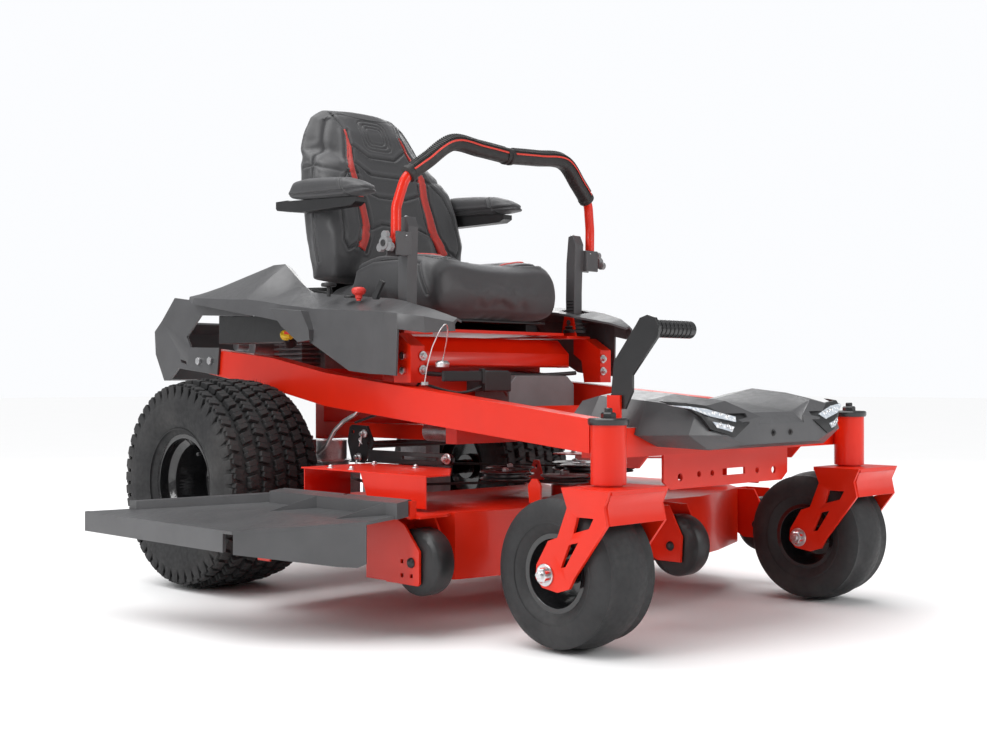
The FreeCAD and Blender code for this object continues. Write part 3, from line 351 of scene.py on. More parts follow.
def softened(node, slot, width):
    """Stands for a CAD node: the same faces, welded, with hard edges rounded as tools leave them."""
    source = frame["nodes"][node]
    work = bmesh.new()
    work.from_mesh(source.data)
    bmesh.ops.remove_doubles(work, verts=work.verts, dist=2e-5)
    bmesh.ops.dissolve_limit(work, angle_limit=math.radians(0.6), verts=work.verts, edges=work.edges)
    crisp = slot == "charcoal_plastic"
    piece = new_piece(node + "_finished", work, 13 if crisp else 32)
    bevel(piece, width, 2, 13 if crisp else 35)
    instead(piece, node, source["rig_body"], slot)


def frame_of(direction):
    """A rotation whose Z is that direction."""
    return Vector(direction).to_track_quat("Z", "Y").to_matrix().to_4x4()


def skin(work, rows, closed=True):
    """Faces between rows of the same number of vertices, each row a ring when closed."""
    count = len(rows[0])
    for low, high in zip(rows, rows[1:]):
        for i in range(count if closed else count - 1):
            j = (i + 1) % count
            work.faces.new((low[i], low[j], high[j], high[i]))
    return rows


def turned(work, origin, direction, profile, sides=32, closed=True):
    """A solid of revolution about a line: profile is (radius, distance along the line) in millimetres."""
    matrix = Matrix.Translation(origin) @ frame_of(direction) @ Matrix.Scale(MM, 4)
    turns = [math.tau * i / sides for i in range(sides)]
    rings = skin(work, [[work.verts.new(matrix @ Vector((r * math.cos(a), r * math.sin(a), along)))
                         for a in turns] for r, along in profile])
    if closed:
        work.faces.new(reversed(rings[0]))
        work.faces.new(rings[-1])
    return work


def stack(work, foot, direction, *layers):
    """Washers, nuts and studs on one line: (sides, radius, from, to, end radius, end) in millimetres."""
    for sides, radius, low, high, tip, end in layers:
        turned(work, foot, direction, [(radius, low), (radius, high), (tip, end)], sides)


def lofted(work, rings):
    """A closed solid through rings of the same number of points."""
    rows = skin(work, [[work.verts.new(p) for p in ring] for ring in rings])
    work.faces.new(reversed(rows[0]))
    work.faces.new(rows[-1])
    bmesh.ops.recalc_face_normals(work, faces=work.faces)
    return work


def block(work, centre, dims, turn=None):
    """A box in mesh form: centre, full sizes and an optional rotation."""
    matrix = Matrix.Translation(centre) @ (turn or Matrix.Identity(4)) @ Matrix.Diagonal((*dims, 1))
    bmesh.ops.create_cube(work, size=1, matrix=matrix)


def bolt(work, head, direction, across=16, height=8):
    """A flanged hexagon bolt head standing on a face, with its washer and chamfered top."""
    r, h = across / 2, height
    stack(work, head, direction, (24, r * 1.5, 0, 1.2, r * 1.42, 1.8), (6, r, 1.5, h * 0.85, r * 0.86, h),
          (16, r * 0.5, h * 0.9, h * 1.12, r * 0.42, h * 1.2))


def tube(name, points, radius, body, slot, material=None, order=3):
    """A hose, rod or piping along a smooth line through given points."""
    curve = bpy.data.curves.new(name, "CURVE")
    curve.dimensions = "3D"
    curve.bevel_depth = radius
    curve.bevel_resolution = 5
    curve.resolution_u = 10
    curve.use_fill_caps = True
    spline = curve.splines.new("NURBS")
    spline.points.add(len(points) - 1)
    for point, spot in zip(spline.points, points):
        point.co = (*spot, 1)
    spline.order_u = order
    spline.use_endpoint_u = True
    piece = bpy.data.objects.new(name, curve)
    bpy.context.scene.collection.objects.link(piece)
    curve.materials.append(material or MATERIALS[slot])
    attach(piece, body)
    return piece


def thickened(piece, thickness):
    """A sheet given its thickness, half on each side."""
    made = piece.modifiers.new("thickness", "SOLIDIFY")
    made.thickness = thickness
    made.offset = 0
    return piece


# ---- camera, floor and light

def camera():
    data = bpy.data.cameras.new("camera")
    data.lens = 49.24
    data.sensor_width = 36
    made = bpy.data.objects.new("camera", data)
    made.location = (-2.447, -2.7209, 0.5626)
    made.rotation_euler = (math.radians(90.31), 0, math.radians(-44.95))
    bpy.context.scene.collection.objects.link(made)
    bpy.context.scene.camera = made


def lamp(name, location, dims, power):
    """A soft box aimed at the middle of the machine."""
    data = bpy.data.lights.new(name, "AREA")
    data.shape = "RECTANGLE"
    data.size, data.size_y = dims
    data.energy = power
    made = bpy.data.objects.new(name, data)
    made.location = location
    made.rotation_euler = (Vector((0, 0, 0.6)) - Vector(location)).to_track_quat("-Z", "Y").to_euler()
    bpy.context.scene.collection.objects.link(made)


def studio():
    """A white floor under an even overhead sky, with soft boxes at one side, in front and behind."""
    work = bmesh.new()
    bmesh.ops.create_grid(work, x_segments=2, y_segments=2, size=40)
    floor = new_piece("floor", work)
    white = new_material("floor", (0.86, 0.86, 0.86), 0.8)
    into(white, "Base Color", mix(white, field(white, 2), (0.85, 0.85, 0.85), (0.87, 0.87, 0.87)))
    floor.data.materials.append(white)
    sky = bpy.data.lights.new("sky", "SUN")
    sky.energy = 2.7
    sky.angle = math.radians(60)
    above = bpy.data.objects.new("sky", sky)
    above.rotation_euler = (math.radians(-12), math.radians(-10), 0)
    bpy.context.scene.collection.objects.link(above)
    lamp("key", (-4.2, 0.2, 2.6), (1.6, 2.6), 90)
    lamp("front", (1.2, -4.6, 2.2), (2.6, 1.6), 70)
    lamp("rear", (3.6, 3.4, 2.8), (3.0, 2.4), 70)
    world = bpy.data.worlds.new("studio")
    world.use_nodes = True
    tree = world.node_tree
    background = tree.nodes["Background"]
    background.inputs[0].default_value = (0.97, 0.98, 1, 1)
    seen = tree.nodes.new("ShaderNodeLightPath").outputs["Is Camera Ray"]
    level = tree.nodes.new("ShaderNodeMapRange")
    level.inputs["To Min"].default_value = 0.34
    level.inputs["To Max"].default_value = 1.0
    tree.links.new(seen, level.inputs["Value"])
    tree.links.new(level.outputs[0], background.inputs[1])
    bpy.context.scene.world = world
    bpy.context.scene.view_settings.view_transform = "Standard"


# ---- cushions

def rounded_ring(points, steps=4, keep=0.28):
    """A closed outline with its corners rounded by cutting them again and again."""
    for _ in range(steps):
        cut = []
        for i, here in enumerate(points):
            after = points[(i + 1) % len(points)]
            cut.append(here.lerp(after, keep))
            cut.append(here.lerp(after, 1 - keep))
        points = cut
        keep = 0.25
    return points


def resampled(ring, count):
    """The same outline with evenly spaced points, from the one nearest to -X -Y."""
    start = min(range(len(ring)), key=lambda i: ring[i].x + ring[i].y)
    ring = ring[start:] + ring[:start]
    lengths = [(ring[(i + 1) % len(ring)] - p).length for i, p in enumerate(ring)]
    total = sum(lengths)
    out, i, passed = [], 0, 0.0
    for k in range(count):
        want = total * k / count
        while passed + lengths[i] < want:
            passed += lengths[i]
            i += 1
        share = (want - passed) / max(lengths[i], 1e-9)
        out.append(ring[i].lerp(ring[(i + 1) % len(ring)], share))
    return out


def cushion_from(name, outlines, voxel=0.006):
    """A closed soft form through outlines, remeshed evenly for cloth."""
    rings = [resampled(rounded_ring(outline), 72) for outline in outlines]
    piece = new_piece(name, lofted(bmesh.new(), rings))
    made = piece.modifiers.new("voxels", "REMESH")
    made.mode = "VOXEL"
    made.voxel_size = voxel
    smooth = piece.modifiers.new("smooth", "SMOOTH")
    smooth.iterations = 6
    return applied(piece)


def numbers(mesh, what):
    """The mesh's vertex positions or normals, one row each."""
    out = np.zeros(len(mesh.vertices) * 3, np.float32)
    mesh.vertices.foreach_get(what, out)
    return out.reshape(-1, 3)


def swell(piece, cap, pressure=4.0, frames=20):
    """Blows the cover up like a filled cushion and holds every point within cap of where it was."""
    before = numbers(piece.data, "co")
    cloth = piece.modifiers.new("cloth", "CLOTH")
    cloth.settings.quality = 4
    cloth.settings.use_pressure = True
    cloth.settings.uniform_pressure_force = pressure
    cloth.settings.tension_stiffness = 30
    cloth.settings.compression_stiffness = 30
    cloth.settings.bending_stiffness = 20
    cloth.settings.effector_weights.gravity = 0
    cloth.point_cache.frame_start = 1
    cloth.point_cache.frame_end = frames
    scene = bpy.context.scene
    for number in range(1, frames + 1):
        scene.frame_set(number)
    moved = numbers(piece.evaluated_get(bpy.context.evaluated_depsgraph_get()).data, "co") - before
    piece.modifiers.clear()
    scene.frame_set(1)
    far = np.linalg.norm(moved, axis=1, keepdims=True)
    moved *= np.minimum(1, cap / np.maximum(far, 1e-9))
    piece.data.vertices.foreach_set("co", (before + moved).ravel())
    piece.data.update()
    settle = piece.modifiers.new("settle", "SMOOTH")
    settle.iterations = 8
    return applied(piece)


def finer(piece):
    made = piece.modifiers.new("finer", "SUBSURF")
    made.levels = made.render_levels = 1
    return applied(piece)


def seam(piece, lines, axes, facing, width=0.0035, depth=0.0045, puff=0.0015):
    """Presses sewn channels into the side of a cushion that faces one way: lines are in two of its axes."""
    mesh = piece.data
    co, normals = numbers(mesh, "co"), numbers(mesh, "normal")
    toward = np.clip(normals @ np.array(facing, np.float32) * 1.6, 0, 1)
    flat = co[:, axes]
    nearest = np.full(len(co), 9.0)
    for line in lines:
        for a, b in zip(line, line[1:]):
            a, b = np.array(a, float), np.array(b, float)
            run = b - a
            share = np.clip(((flat - a) @ run) / max(run @ run, 1e-12), 0, 1)
            nearest = np.minimum(nearest, np.linalg.norm(flat - (a + share[:, None] * run), axis=1))
    swollen = puff * np.exp(-(((nearest - 2.6 * width) / (1.6 * width)) ** 2))
    dip = swollen - depth * np.exp(-((nearest / width) ** 2))
    co += normals * (dip * toward)[:, None]
    mesh.vertices.foreach_set("co", co.ravel())
    mesh.update()


def surface_of(piece):
    work = bmesh.new()
    work.from_mesh(piece.data)
    tree = BVHTree.FromBMesh(work)
    work.free()
    return tree


def onto(tree, point, direction, offset=0.0):
    """Where a ray along direction meets the surface, lifted off it by offset."""
    direction = Vector(direction).normalized()
    hit, normal, _, _ = tree.ray_cast(point - direction * 0.6, direction)
    if hit is None:
        hit, normal, _, _ = tree.find_nearest(point)
    if normal.dot(direction) > 0:
        normal = -normal
    return hit + normal * offset


def smooth_line(points, steps=8):
    """Points of a smooth curve through given ones."""
    out = []
    for i in range(len(points) - 1):
        before = points[max(i - 1, 0)]
        a, b = points[i], points[i + 1]
        after = points[min(i + 2, len(points) - 1)]
        for k in range(steps):
            t = k / steps
            out.append(
                0.5 * ((2 * a) + (b - before) * t + (2 * before - 5 * a + 4 * b - after) * t * t
                       + (3 * a - before - 3 * b + after) * t ** 3)
            )
    out.append(points[-1])
    return out


def ribbon(name, tree, centre, widths, direction, lift):
    """A strip of accent cover sewn on the seat, whose width changes along its line, with rolled edges."""
    line = smooth_line(centre, 10)
    strips = 6
    rows = []
    work = bmesh.new()
    for i, point in enumerate(line):
        along = (line[min(i + 1, len(line) - 1)] - line[max(i - 1, 0)]).normalized()
        across = along.cross(Vector(direction)).normalized()
        share = i / (len(line) - 1) * (len(widths) - 1)
        k = min(int(share), len(widths) - 2)
        half = (widths[k] + (widths[k + 1] - widths[k]) * (share - k)) / 2 * MM
        row = []
        for j in range(strips + 1):
            spot = j / strips * 2 - 1
            proud = lift * (1 - spot ** 4) - 0.0008 * spot ** 8
            row.append(work.verts.new(onto(tree, point + across * half * spot, direction, proud)))
        rows.append(row)
    skin(work, rows, closed=False)
    bmesh.ops.recalc_face_normals(work, faces=work.faces)
    thickened(put(name, work, "seat", SEAT, 60, MATERIALS["accent_vinyl"]), 0.0015)


def stitches(name, tree, points, direction, body, pitch=9, length=5.5, radius=0.7):
    """Short threads in a row along a seam, in millimetres."""
    line = smooth_line(points, 24)
    work = bmesh.new()
    travelled, target = 0.0, pitch * MM
    profile = [(radius * 0.3, 0), (radius, length * 0.2), (radius, length * 0.8), (radius * 0.3, length)]
    for a, b in zip(line, line[1:]):
        travelled += (b - a).length
        if travelled < target:
            continue
        target += pitch * MM
        start = onto(tree, a, direction, radius * MM / 2)
        heading = (onto(tree, b, direction, radius * MM / 2) - start).normalized()
        turned(work, start, heading, profile, 6)
    put(name, work, body, SEAT, 40, MATERIALS["thread"])


# ---- seat

SEAT = "seat_vinyl"
FORWARD = (0, 1, 0)
SEAT_LEVELS = [
    # height, rear half, front half, front, shoulder, rear, recess of the middle panel
    (848, 236, 222, -190, -178, -54, 4), (911, 244, 234, -200, -188, -44, 8),
    (970, 248, 236, -201, -190, -34, 14), (1060, 248, 234, -174, -164, -18, 18),
    (1134, 246, 228, -144, -132, -4, 16), (1190, 240, 186, -116, -72, 6, 10),
    (1235, 230, 146, -89, -26, 18, 3), (1295, 204, 124, -60, -2, 34, 0),
    (1344, 172, 108, -28, 8, 46, 0), (1369, 132, 86, -4, 14, 47, 0),
]
BACK_WIDTH = 1.03


def back_outline(height, half, front_half, front, shoulder, rear, recess):
    """One level of the seat back, from the middle panel round the bolsters to the rear."""
    crest = front_half - 34
    right = [(crest, front), (front_half, front + 12), (half, shoulder + 6), (half, rear - 16),
             (half - 22, rear)]
    left = [(-x, y) for x, y in reversed(right)]
    panel = [(-crest * 0.62, front + recess), (0, front + recess * 1.3), (crest * 0.62, front + recess)]
    return [at(x * BACK_WIDTH, y, height) for x, y in panel + right + left]


def flat_xz(points):
    """Points in the plane of the seat back, as X and Z in metres."""
    return [(at(x, 0, z).x, z * MM) for x, z in points]


def both_sides(line):
    """A line and its mirror image across the middle."""
    return [line, [(-x, z) for x, z in line]]


def flanks(piece, lines, width=0.0035, depth=0.0045):
    """Presses seams, given as Y and Z in millimetres, into both sides of a cushion."""
    flat = [[(at(0, y, 0).y, z * MM) for y, z in line] for line in lines]
    for facing in (-1, 1):
        seam(piece, flat, [1, 2], (facing, 0, 0), width, depth)


def seat_back():
    piece = cushion_from("seat_back_cover", [back_outline(*level) for level in SEAT_LEVELS])
    piece = finer(swell(piece, 0.006))
    head_panel = [(-108, 1258), (-92, 1248), (-50, 1221), (50, 1221), (92, 1248), (108, 1258)]
    chevrons = [[(-outer, ends), (-inner, centre), (inner, centre), (outer, ends)] for outer, ends, inner, centre in
                ((112, 1198, 60, 1165), (116, 1118, 50, 1098), (128, 990, 66, 1014))]
    mirrored = [
        [(150, 1168), (196, 1120), (214, 1060), (220, 960), (206, 936), (158, 958)],
        [(118, 1352), (104, 1290), (118, 1240), (142, 1180)],
        [(100, 1300), (106, 1240), (118, 1190), (112, 1120), (108, 1050), (112, 1000), (140, 930)],
        [(108, 1302), (124, 1250), (146, 1190), (152, 1160), (142, 1100), (146, 1050), (150, 1000), (178, 940)],
    ]
    lines = [head_panel, *chevrons, *(line for pair in mirrored for line in both_sides(pair))]
    seam(piece, [flat_xz(line) for line in lines], [0, 2], (0, -1, 0))
    for half in (52, 40, 29):
        loop = []
        for k in range(49):
            across, up = math.cos(math.tau * k / 48), math.sin(math.tau * k / 48)
            square = half * (abs(across) ** 5 + abs(up) ** 5) ** -0.2
            loop.append((square * across, 1292 + square * up * 0.9))
        seam(piece, [flat_xz(loop)], [0, 2], (0, -1, 0), 0.0022, 0.0018, 0.0006)
    rear_seam = [(-120, 900), (-96, 1120), (-58, 1230), (-16, 1330)]
    wing_seam = [(-168, 1150), (-84, 1180), (-40, 1176)]
    flanks(piece, [rear_seam, wing_seam], depth=0.004)
    instead(piece, "seat_back", "seat", SEAT)
    tree = surface_of(piece)
    stripe = [(104, 1302), (114, 1246), (131, 1192), (133, 1160), (127, 1106), (128, 1050), (131, 1000),
              (158, 936)]
    for side, sign in SIDES.items():
        line = [at(sign * x, -100, z) for x, z in stripe]
        ribbon("seat_accent_" + side, tree, line, (3, 13, 21, 24, 25, 28, 30, 33), FORWARD, 0.0024)
        edge = [at(sign * x, -100, z) for x, z in mirrored[0][:4]]
        stitches("seat_back_stitches_" + side, tree, edge, FORWARD, "seat")
    head = [at(x, -100, z - 6) for x, z in head_panel]
    stitches("seat_head_stitches", tree, head, FORWARD, "seat")
    crown = [(-150, 1330), (-108, 1359), (-60, 1368), (60, 1368), (108, 1359), (150, 1330)]
    welt = [onto(tree, at(x, -60, z), FORWARD, 0.0005) for x, z in crown]
    tube("seat_top_piping", welt, 0.0024, "seat", SEAT, MATERIALS["piping"])


CUSHION_STATIONS = [
    # front to rear: station, bottom, bolster crest, middle, half width
    (-603, 772, 836, 832, 208), (-596, 744, 868, 858, 226), (-570, 734, 890, 874, 236),
    (-520, 733, 900, 874, 239), (-440, 733, 905, 864, 240), (-340, 733, 907, 858, 240),
    (-262, 733, 896, 856, 238), (-226, 734, 850, 838, 234), (-180, 735, 834, 832, 230),
    (-122, 738, 832, 832, 228),
]


def cushion_outline(station, bottom, crest, centre, half):
    side = [(half - 22, bottom), (half, bottom + 26), (half + 1, crest - 44), (half - 20, crest - 8),
            (half - 62, crest), (half - 112, crest - (crest - centre) * 0.55), (half - 150, centre + 2)]
    right = [at(x, station, z) for x, z in side]
    left = [at(-x, station, z) for x, z in reversed(side)]
    return right + [at(0, station, centre)] + left + [at(0, station, bottom)]


def seat_cushion():
    piece = cushion_from("seat_cushion_cover", [cushion_outline(*row) for row in CUSHION_STATIONS])
    piece = finer(swell(piece, 0.006))
    inset = both_sides([(96, -548), (176, -560), (200, -536), (204, -380), (196, -300)])
    crossing = [[(-96, -548), (-60, -520), (60, -520), (96, -548)], [(-96, -548), (-92, -300)],
                [(96, -548), (92, -300)], [(-92, -430), (0, -410), (92, -430)],
                [(-92, -350), (0, -332), (92, -350)]]
    seam(piece, [[tuple(at(x, y, 0).xy) for x, y in line] for line in inset + crossing], [0, 1], UP)
    side_arc = [(-560, 790), (-520, 872), (-440, 892), (-330, 890), (-262, 872)]
    flanks(piece, [side_arc])
    instead(piece, "seat_cushion", "seat", SEAT)
    tree = surface_of(piece)
    down = (0, 0, -1)
    for side, sign in SIDES.items():
        chevron = [at(sign * x, y, 1000) for x, y in ((104, -420), (150, -500), (160, -516), (188, -470))]
        ribbon("cushion_accent_" + side, tree, chevron, (6, 18, 20, 5), down, 0.002)
        run = [(100, -552), (178, -566), (206, -538), (209, -380), (200, -300)]
        stitches("cushion_stitches_" + side, tree, [at(sign * x, y, 1000) for x, y in run], down, "seat")
        welt = [onto(tree, at(sign * 400, y, z), (-sign, 0, 0), 0.0005) for y, z in side_arc]
        tube("cushion_piping_" + side, welt, 0.0024, "seat", SEAT, MATERIALS["piping"])


PAD_STATIONS = [
    # front to rear: station, bottom, top, half width
    (-391, 1071, 1080, 16), (-380, 1065, 1090, 27), (-350, 1062, 1103, 33), (-300, 1062, 1116, 34),
    (-220, 1065, 1124, 34), (-130, 1071, 1130, 34), (-76, 1076, 1127, 32), (-54, 1079, 1104, 27),
]


def armrests():
    for side, sign in SIDES.items():
        body = "armrest_" + side
        x_mid = (middle("armrest_pad_" + side).x - CENTRE_X) / MM
        outlines = []
        for station, low, high, half in PAD_STATIONS:
            shape = [(-half, low), (half, low), (half + 1, high - 16), (half - 10, high), (10 - half, high),
                     (-half - 1, high - 16)]
            outlines.append([at(x_mid + x, station, z) for x, z in shape])
        piece = cushion_from("armrest_cover_" + side, outlines, 0.004)
        piece = finer(swell(piece, 0.003))
        flanks(piece, [[(-330, 1058), (-306, 1078), (-286, 1122)], [(-396, 1078), (-300, 1076), (-54, 1086)]],
               0.003, 0.003)
        instead(piece, "armrest_pad_" + side, body, SEAT)
        tree = surface_of(piece)
        for name, facing in (("outer", sign), ("inner", -sign)):
            row = [at(x_mid + facing * 200, y, z) for y, z in ((-385, 1083), (-300, 1081), (-60, 1091))]
            stitches(f"armrest_stitches_{name}_{side}", tree, row, (-facing, 0, 0), body)


# ---- tyres

def tyre_profile(half, radius, bead):
    """Outer profile of a tyre from bead to bead as (across, radius)."""
    wall = radius - bead
    side = [(half * across, bead + wall * up) for across, up in
            ((0.75, 0), (0.8, 0.06), (0.93, 0.22), (0.985, 0.45), (0.985, 0.62), (0.93, 0.8), (0.84, 0.9))]
    tread = [(half * 0.62 * k / 4, radius - 0.012 * (k / 4) ** 2) for k in range(4, -5, -1)]
    return side + tread + [(-x, r) for x, r in reversed(side)]


def tyre_body(name, node, profile, rings_at):
    """A tyre turned about its wheel's axle, with a fine raised ring at each (across, radius)."""
    centre = middle(node)
    work = bmesh.new()
    steps = 128
    turns = [math.tau * i / steps for i in range(steps)]
    rings = [[work.verts.new(centre + Vector((x, r * math.cos(a), r * math.sin(a)))) for x, r in profile]
             for a in turns]
    skin(work, [*rings, rings[0]], closed=False)
    for across, radius in rings_at:
        r = radius / MM
        ridge = [(r - 2, 0), (r + 1.2, 0.4), (r + 1.2, 2), (r - 2, 2.4)]
        turned(work, centre + Vector((across - 0.0012, 0, 0)), (1, 0, 0), ridge, steps, False)
    bmesh.ops.recalc_face_normals(work, faces=work.faces)
    return new_piece(name, work, 50)


LUG_RING = [(-1, -0.8), (-0.85, -1), (0.85, -1), (1, -0.8), (1, 0.8), (0.85, 1), (-0.85, 1), (-1, 0.8)]


def lug(work, centre, angle, across, base, top, width, length, skew=0.0):
    """One moulded tread block, wider at its foot, standing on the carcass."""
    radial = Vector((0, math.cos(angle), math.sin(angle)))
    turn = Matrix.Rotation(skew, 3, radial)
    forward, side = turn @ Vector((0, -math.sin(angle), math.cos(angle))), turn @ Vector((1, 0, 0))
    rows = []
    for radius, grow in ((base, 1.1), (top - 0.0015, 1.0), (top, 0.9)):
        foot = centre + Vector((across, 0, 0)) + radial * radius
        half_w, half_l = width * grow / 2, length * grow / 2
        rows.append([foot + side * half_w * a + forward * half_l * b for a, b in LUG_RING])
    lofted(work, rows)


def rear_tyres():
    """Turf tyres: seven staggered rows of split blocks, shoulder blocks and a few moulding hairs."""
    rows, count, bead, depth = 7, 44, 0.127, 0.011
    for side in SIDES:
        node, body, rubber_slot = "rear_tyre_" + side, "rear_wheel_" + side, "rear_tyre_rubber"
        centre, dims = middle(node), size(node)
        half, radius = dims.x / 2, dims.z / 2
        base = radius - depth
        walls = [(edge * half * 0.9, bead + 0.022) for edge in (-1, 1)]
        piece = tyre_body("rear_tyre_carcass_" + side, node, tyre_profile(half, base, bead), walls)
        instead(piece, node, body, rubber_slot)
        work = bmesh.new()
        for row in range(rows):
            share = (row - (rows - 1) / 2) / ((rows - 1) / 2)
            drop = 0.012 * share ** 2 + 0.02 * max(0, abs(share) - 0.8) ** 1.2
            skew = 0.3 if row % 2 else -0.3
            for i in range(count):
                angle = math.tau * (i + 0.5 * (row % 2)) / count
                for turn in (angle - 0.026, angle + 0.026):
                    lug(work, centre, turn, share * half * 0.82, base - drop - 0.004, radius - drop - 0.0005,
                        0.027, 0.0145, skew)
        for edge in (-1, 1):
            for i in range(count):
                angle = math.tau * (i + 0.25) / count
                lug(work, centre, angle, edge * half * 0.9, radius - 0.058, radius - 0.022, 0.017, 0.024)
        put("rear_tyre_tread_" + side, work, body, rubber_slot)
        hairs = bmesh.new()
        for i in range(90):
            angle = math.tau * ((i * 0.381966) % 1)
            outward = Vector((0, math.cos(angle), math.sin(angle)))
            foot = centre + Vector((half * 0.7 * math.sin(i * 2.4), 0, 0)) + outward * (radius - 0.013)
            lean = outward + Vector((0.15 * math.sin(i * 1.7), 0, 0))
            turned(hairs, foot, lean, [(0.6, 0), (0.5, 6), (0.2, 12)], 5)
        put("rear_tyre_hairs_" + side, hairs, body, rubber_slot, 40)


def caster_tyres():
    """Smooth caster tyres with a fitting line on each wall."""
    bead = 0.076
    for side in SIDES:
        node = "caster_tyre_" + side
        half, radius = size(node).x / 2, size(node).z / 2
        walls = [(edge * half * 0.955, bead + 0.03) for edge in (-1, 1)]
        piece = tyre_body("caster_tyre_body_" + side, node, tyre_profile(half, radius - 0.001, bead), walls)
        instead(piece, node, "caster_wheel_" + side, "front_tyre_rubber")


# ---- controls

GRIP_ROUTE = [(343, -605.5, 1083.1), (290, -617, 1122), (213, -629, 1175), (110, -626, 1173), (8, -621, 1168)]
GRIP_RADIUS = 0.0225


def grips():
    """Each lap-bar grip: an oval rubber sleeve with a ribbed back, a red line and a moulded end."""
    turns = [math.tau * k / 28 for k in range(28)]
    for side, sign in SIDES.items():
        body = "lap_bar_" + side
        route = smooth_line([at(sign * x, y, z) for x, y, z in GRIP_ROUTE], 16)
        strip, line, rings, line_rows = bmesh.new(), bmesh.new(), [], []
        for i, point in enumerate(route):
            along = (route[min(i + 1, len(route) - 1)] - route[max(i - 1, 0)]).normalized()
            up = (Vector(UP) - along * along.z).normalized()
            forward = along.cross(up)
            if forward.y > 0:
                forward = -forward
            rounds = [(up * math.cos(a) + forward * math.sin(a)) * (1 - 0.06 * math.cos(4 * a)) for a in turns]
            rings.append([point + spoke * GRIP_RADIUS * 0.92 for spoke in rounds])
            line_rows.append([point + (up * math.cos(a) + forward * math.sin(a)) * GRIP_RADIUS * 0.985
                              for a in (1.22, 1.29, 1.36, 1.43)])
            if 6 < i < len(route) - 3:
                outward = up * math.cos(0.55) + forward * math.sin(0.55)
                flat = forward * math.cos(0.55) - up * math.sin(0.55)
                turn = Matrix((flat, along, outward)).transposed().to_4x4()
                for step in (0, 0.0048):
                    here = point + along * step + outward * GRIP_RADIUS * 0.93
                    block(strip, here, (0.022, 0.0026, 0.0036), turn)
        sleeve = bevel(new_piece("grip_sleeve_" + side, lofted(bmesh.new(), rings), 50), 0.004, 3)
        instead(sleeve, "lap_bar_grip_" + side, body, "grip_rubber")
        bevel(put("grip_ribs_" + side, strip, body, "grip_rubber"), 0.0006, 1)
        skin(line, [[line.verts.new(p) for p in row] for row in line_rows[5:-2]], closed=False)
        thickened(put("grip_line_" + side, line, body, "red_plastic", 60, MATERIALS["pinstripe"]), 0.0014)
        end, collar = bmesh.new(), bmesh.new()
        heading = (route[-1] - route[-3]).normalized()
        moulded = [(22.6, 0), (23.2, 2), (23.2, 10), (20.5, 13.5), (6, 13.7), (4.5, 9)]
        turned(end, route[-1] - heading * 0.006, heading, moulded)
        put("grip_end_" + side, end, body, "grip_rubber")
        heading = (route[2] - route[0]).normalized()
        turned(collar, route[0] - heading * 0.001, heading, [(19.5, 0), (22.8, 2), (23.2, 12), (20.5, 16)])
        put("grip_collar_" + side, collar, body, "grip_rubber")


def towers():
    """Ribs, clamp bolts and rubber boots of the two control towers, and the caps of their knobs."""
    folds = ((700, 1.25), (708, 1.3), (712, 1.05), (718, 1.12), (722, 0.92), (728, 0.98), (732, 0.8))
    for side, sign in SIDES.items():
        body, knob = "drive_arm_" + side, "adjust_knob_" + side
        ribs, clamp, boot, cap = (bmesh.new() for _ in range(4))
        for z in range(720, 800, 9):
            block(ribs, at(sign * 304, -578, z), (0.006, 0.026, 0.0045))
        bevel(put("tower_ribs_" + side, ribs, body, "black_plastic"), 0.0012)
        for y in (-606, -577):
            bolt(clamp, at(sign * 352, y, 928), UP, 9, 4)
        bolt(clamp, at(sign * 319, -572, 981), UP, 8, 3)
        put("tower_bolts_" + side, clamp, body, "zinc_steel")
        rings = []
        for z, grow in folds:
            corners = [at(sign * 319 + x * grow, -580 + y * grow * 0.72, z)
                       for x, y in ((-27, -34), (27, -34), (27, 34), (-27, 34))]
            rings.append(resampled(rounded_ring(corners, 3), 36))
        lofted(boot, rings)
        put("tower_boot_" + side, boot, "chassis", "black_plastic", 50)
        face = Vector((at(sign * 413.5, 0, 0).x, middle(knob).y, 0.907))
        stack(cap, face, (sign, 0, 0), (24, 8.5, -1, 1.2, 6.5, 2))
        put("knob_cap_" + side, cap, knob, "black_plastic")


# ---- small parts that only show

HOUSING = [(327, 519), (284, 514), (141, 500), (107, 484), (187, 441), (253, 460), (275, 487)]
STRIPS = [[(322, 511), (250, 503), (167, 485), (181, 474), (253, 487), (300, 503)],
          [(249, 476), (192, 464), (201, 453), (239, 463)]]


def cowl_front(x, z):
    """How far forward the cowl's faceted front stands there, in millimetres."""
    side, up = max(0, abs(x) - 215) * 0.4, max(0, z - 470) * 0.97
    return -1484 + max(side, up) + max(0, abs(x) - 300) * 1.5


def draped(work, outline, proud, thickness):
    """A plate that follows the cowl's front: its outline is (across, height) in millimetres."""
    patch = bmesh.new()
    patch.faces.new([patch.verts.new((x, 0, z)) for x, z in outline])
    bmesh.ops.triangulate(patch, faces=patch.faces)
    bmesh.ops.subdivide_edges(patch, edges=patch.edges, cuts=5, use_grid_fill=True)
    patch.verts.index_update()
    front, rear = [], []
    for vert in patch.verts:
        y = cowl_front(vert.co.x, vert.co.z) - proud
        front.append(work.verts.new(at(vert.co.x, y, vert.co.z)))
        rear.append(work.verts.new(at(vert.co.x, y + thickness, vert.co.z)))
    for face in patch.faces:
        indices = [vert.index for vert in face.verts]
        work.faces.new([front[i] for i in indices])
        work.faces.new([rear[i] for i in reversed(indices)])
    for edge in patch.edges:
        if edge.is_boundary:
            a, b = (vert.index for vert in edge.verts)
            work.faces.new((front[a], front[b], rear[b], rear[a]))
    patch.free()
    bmesh.ops.recalc_face_normals(work, faces=work.faces)


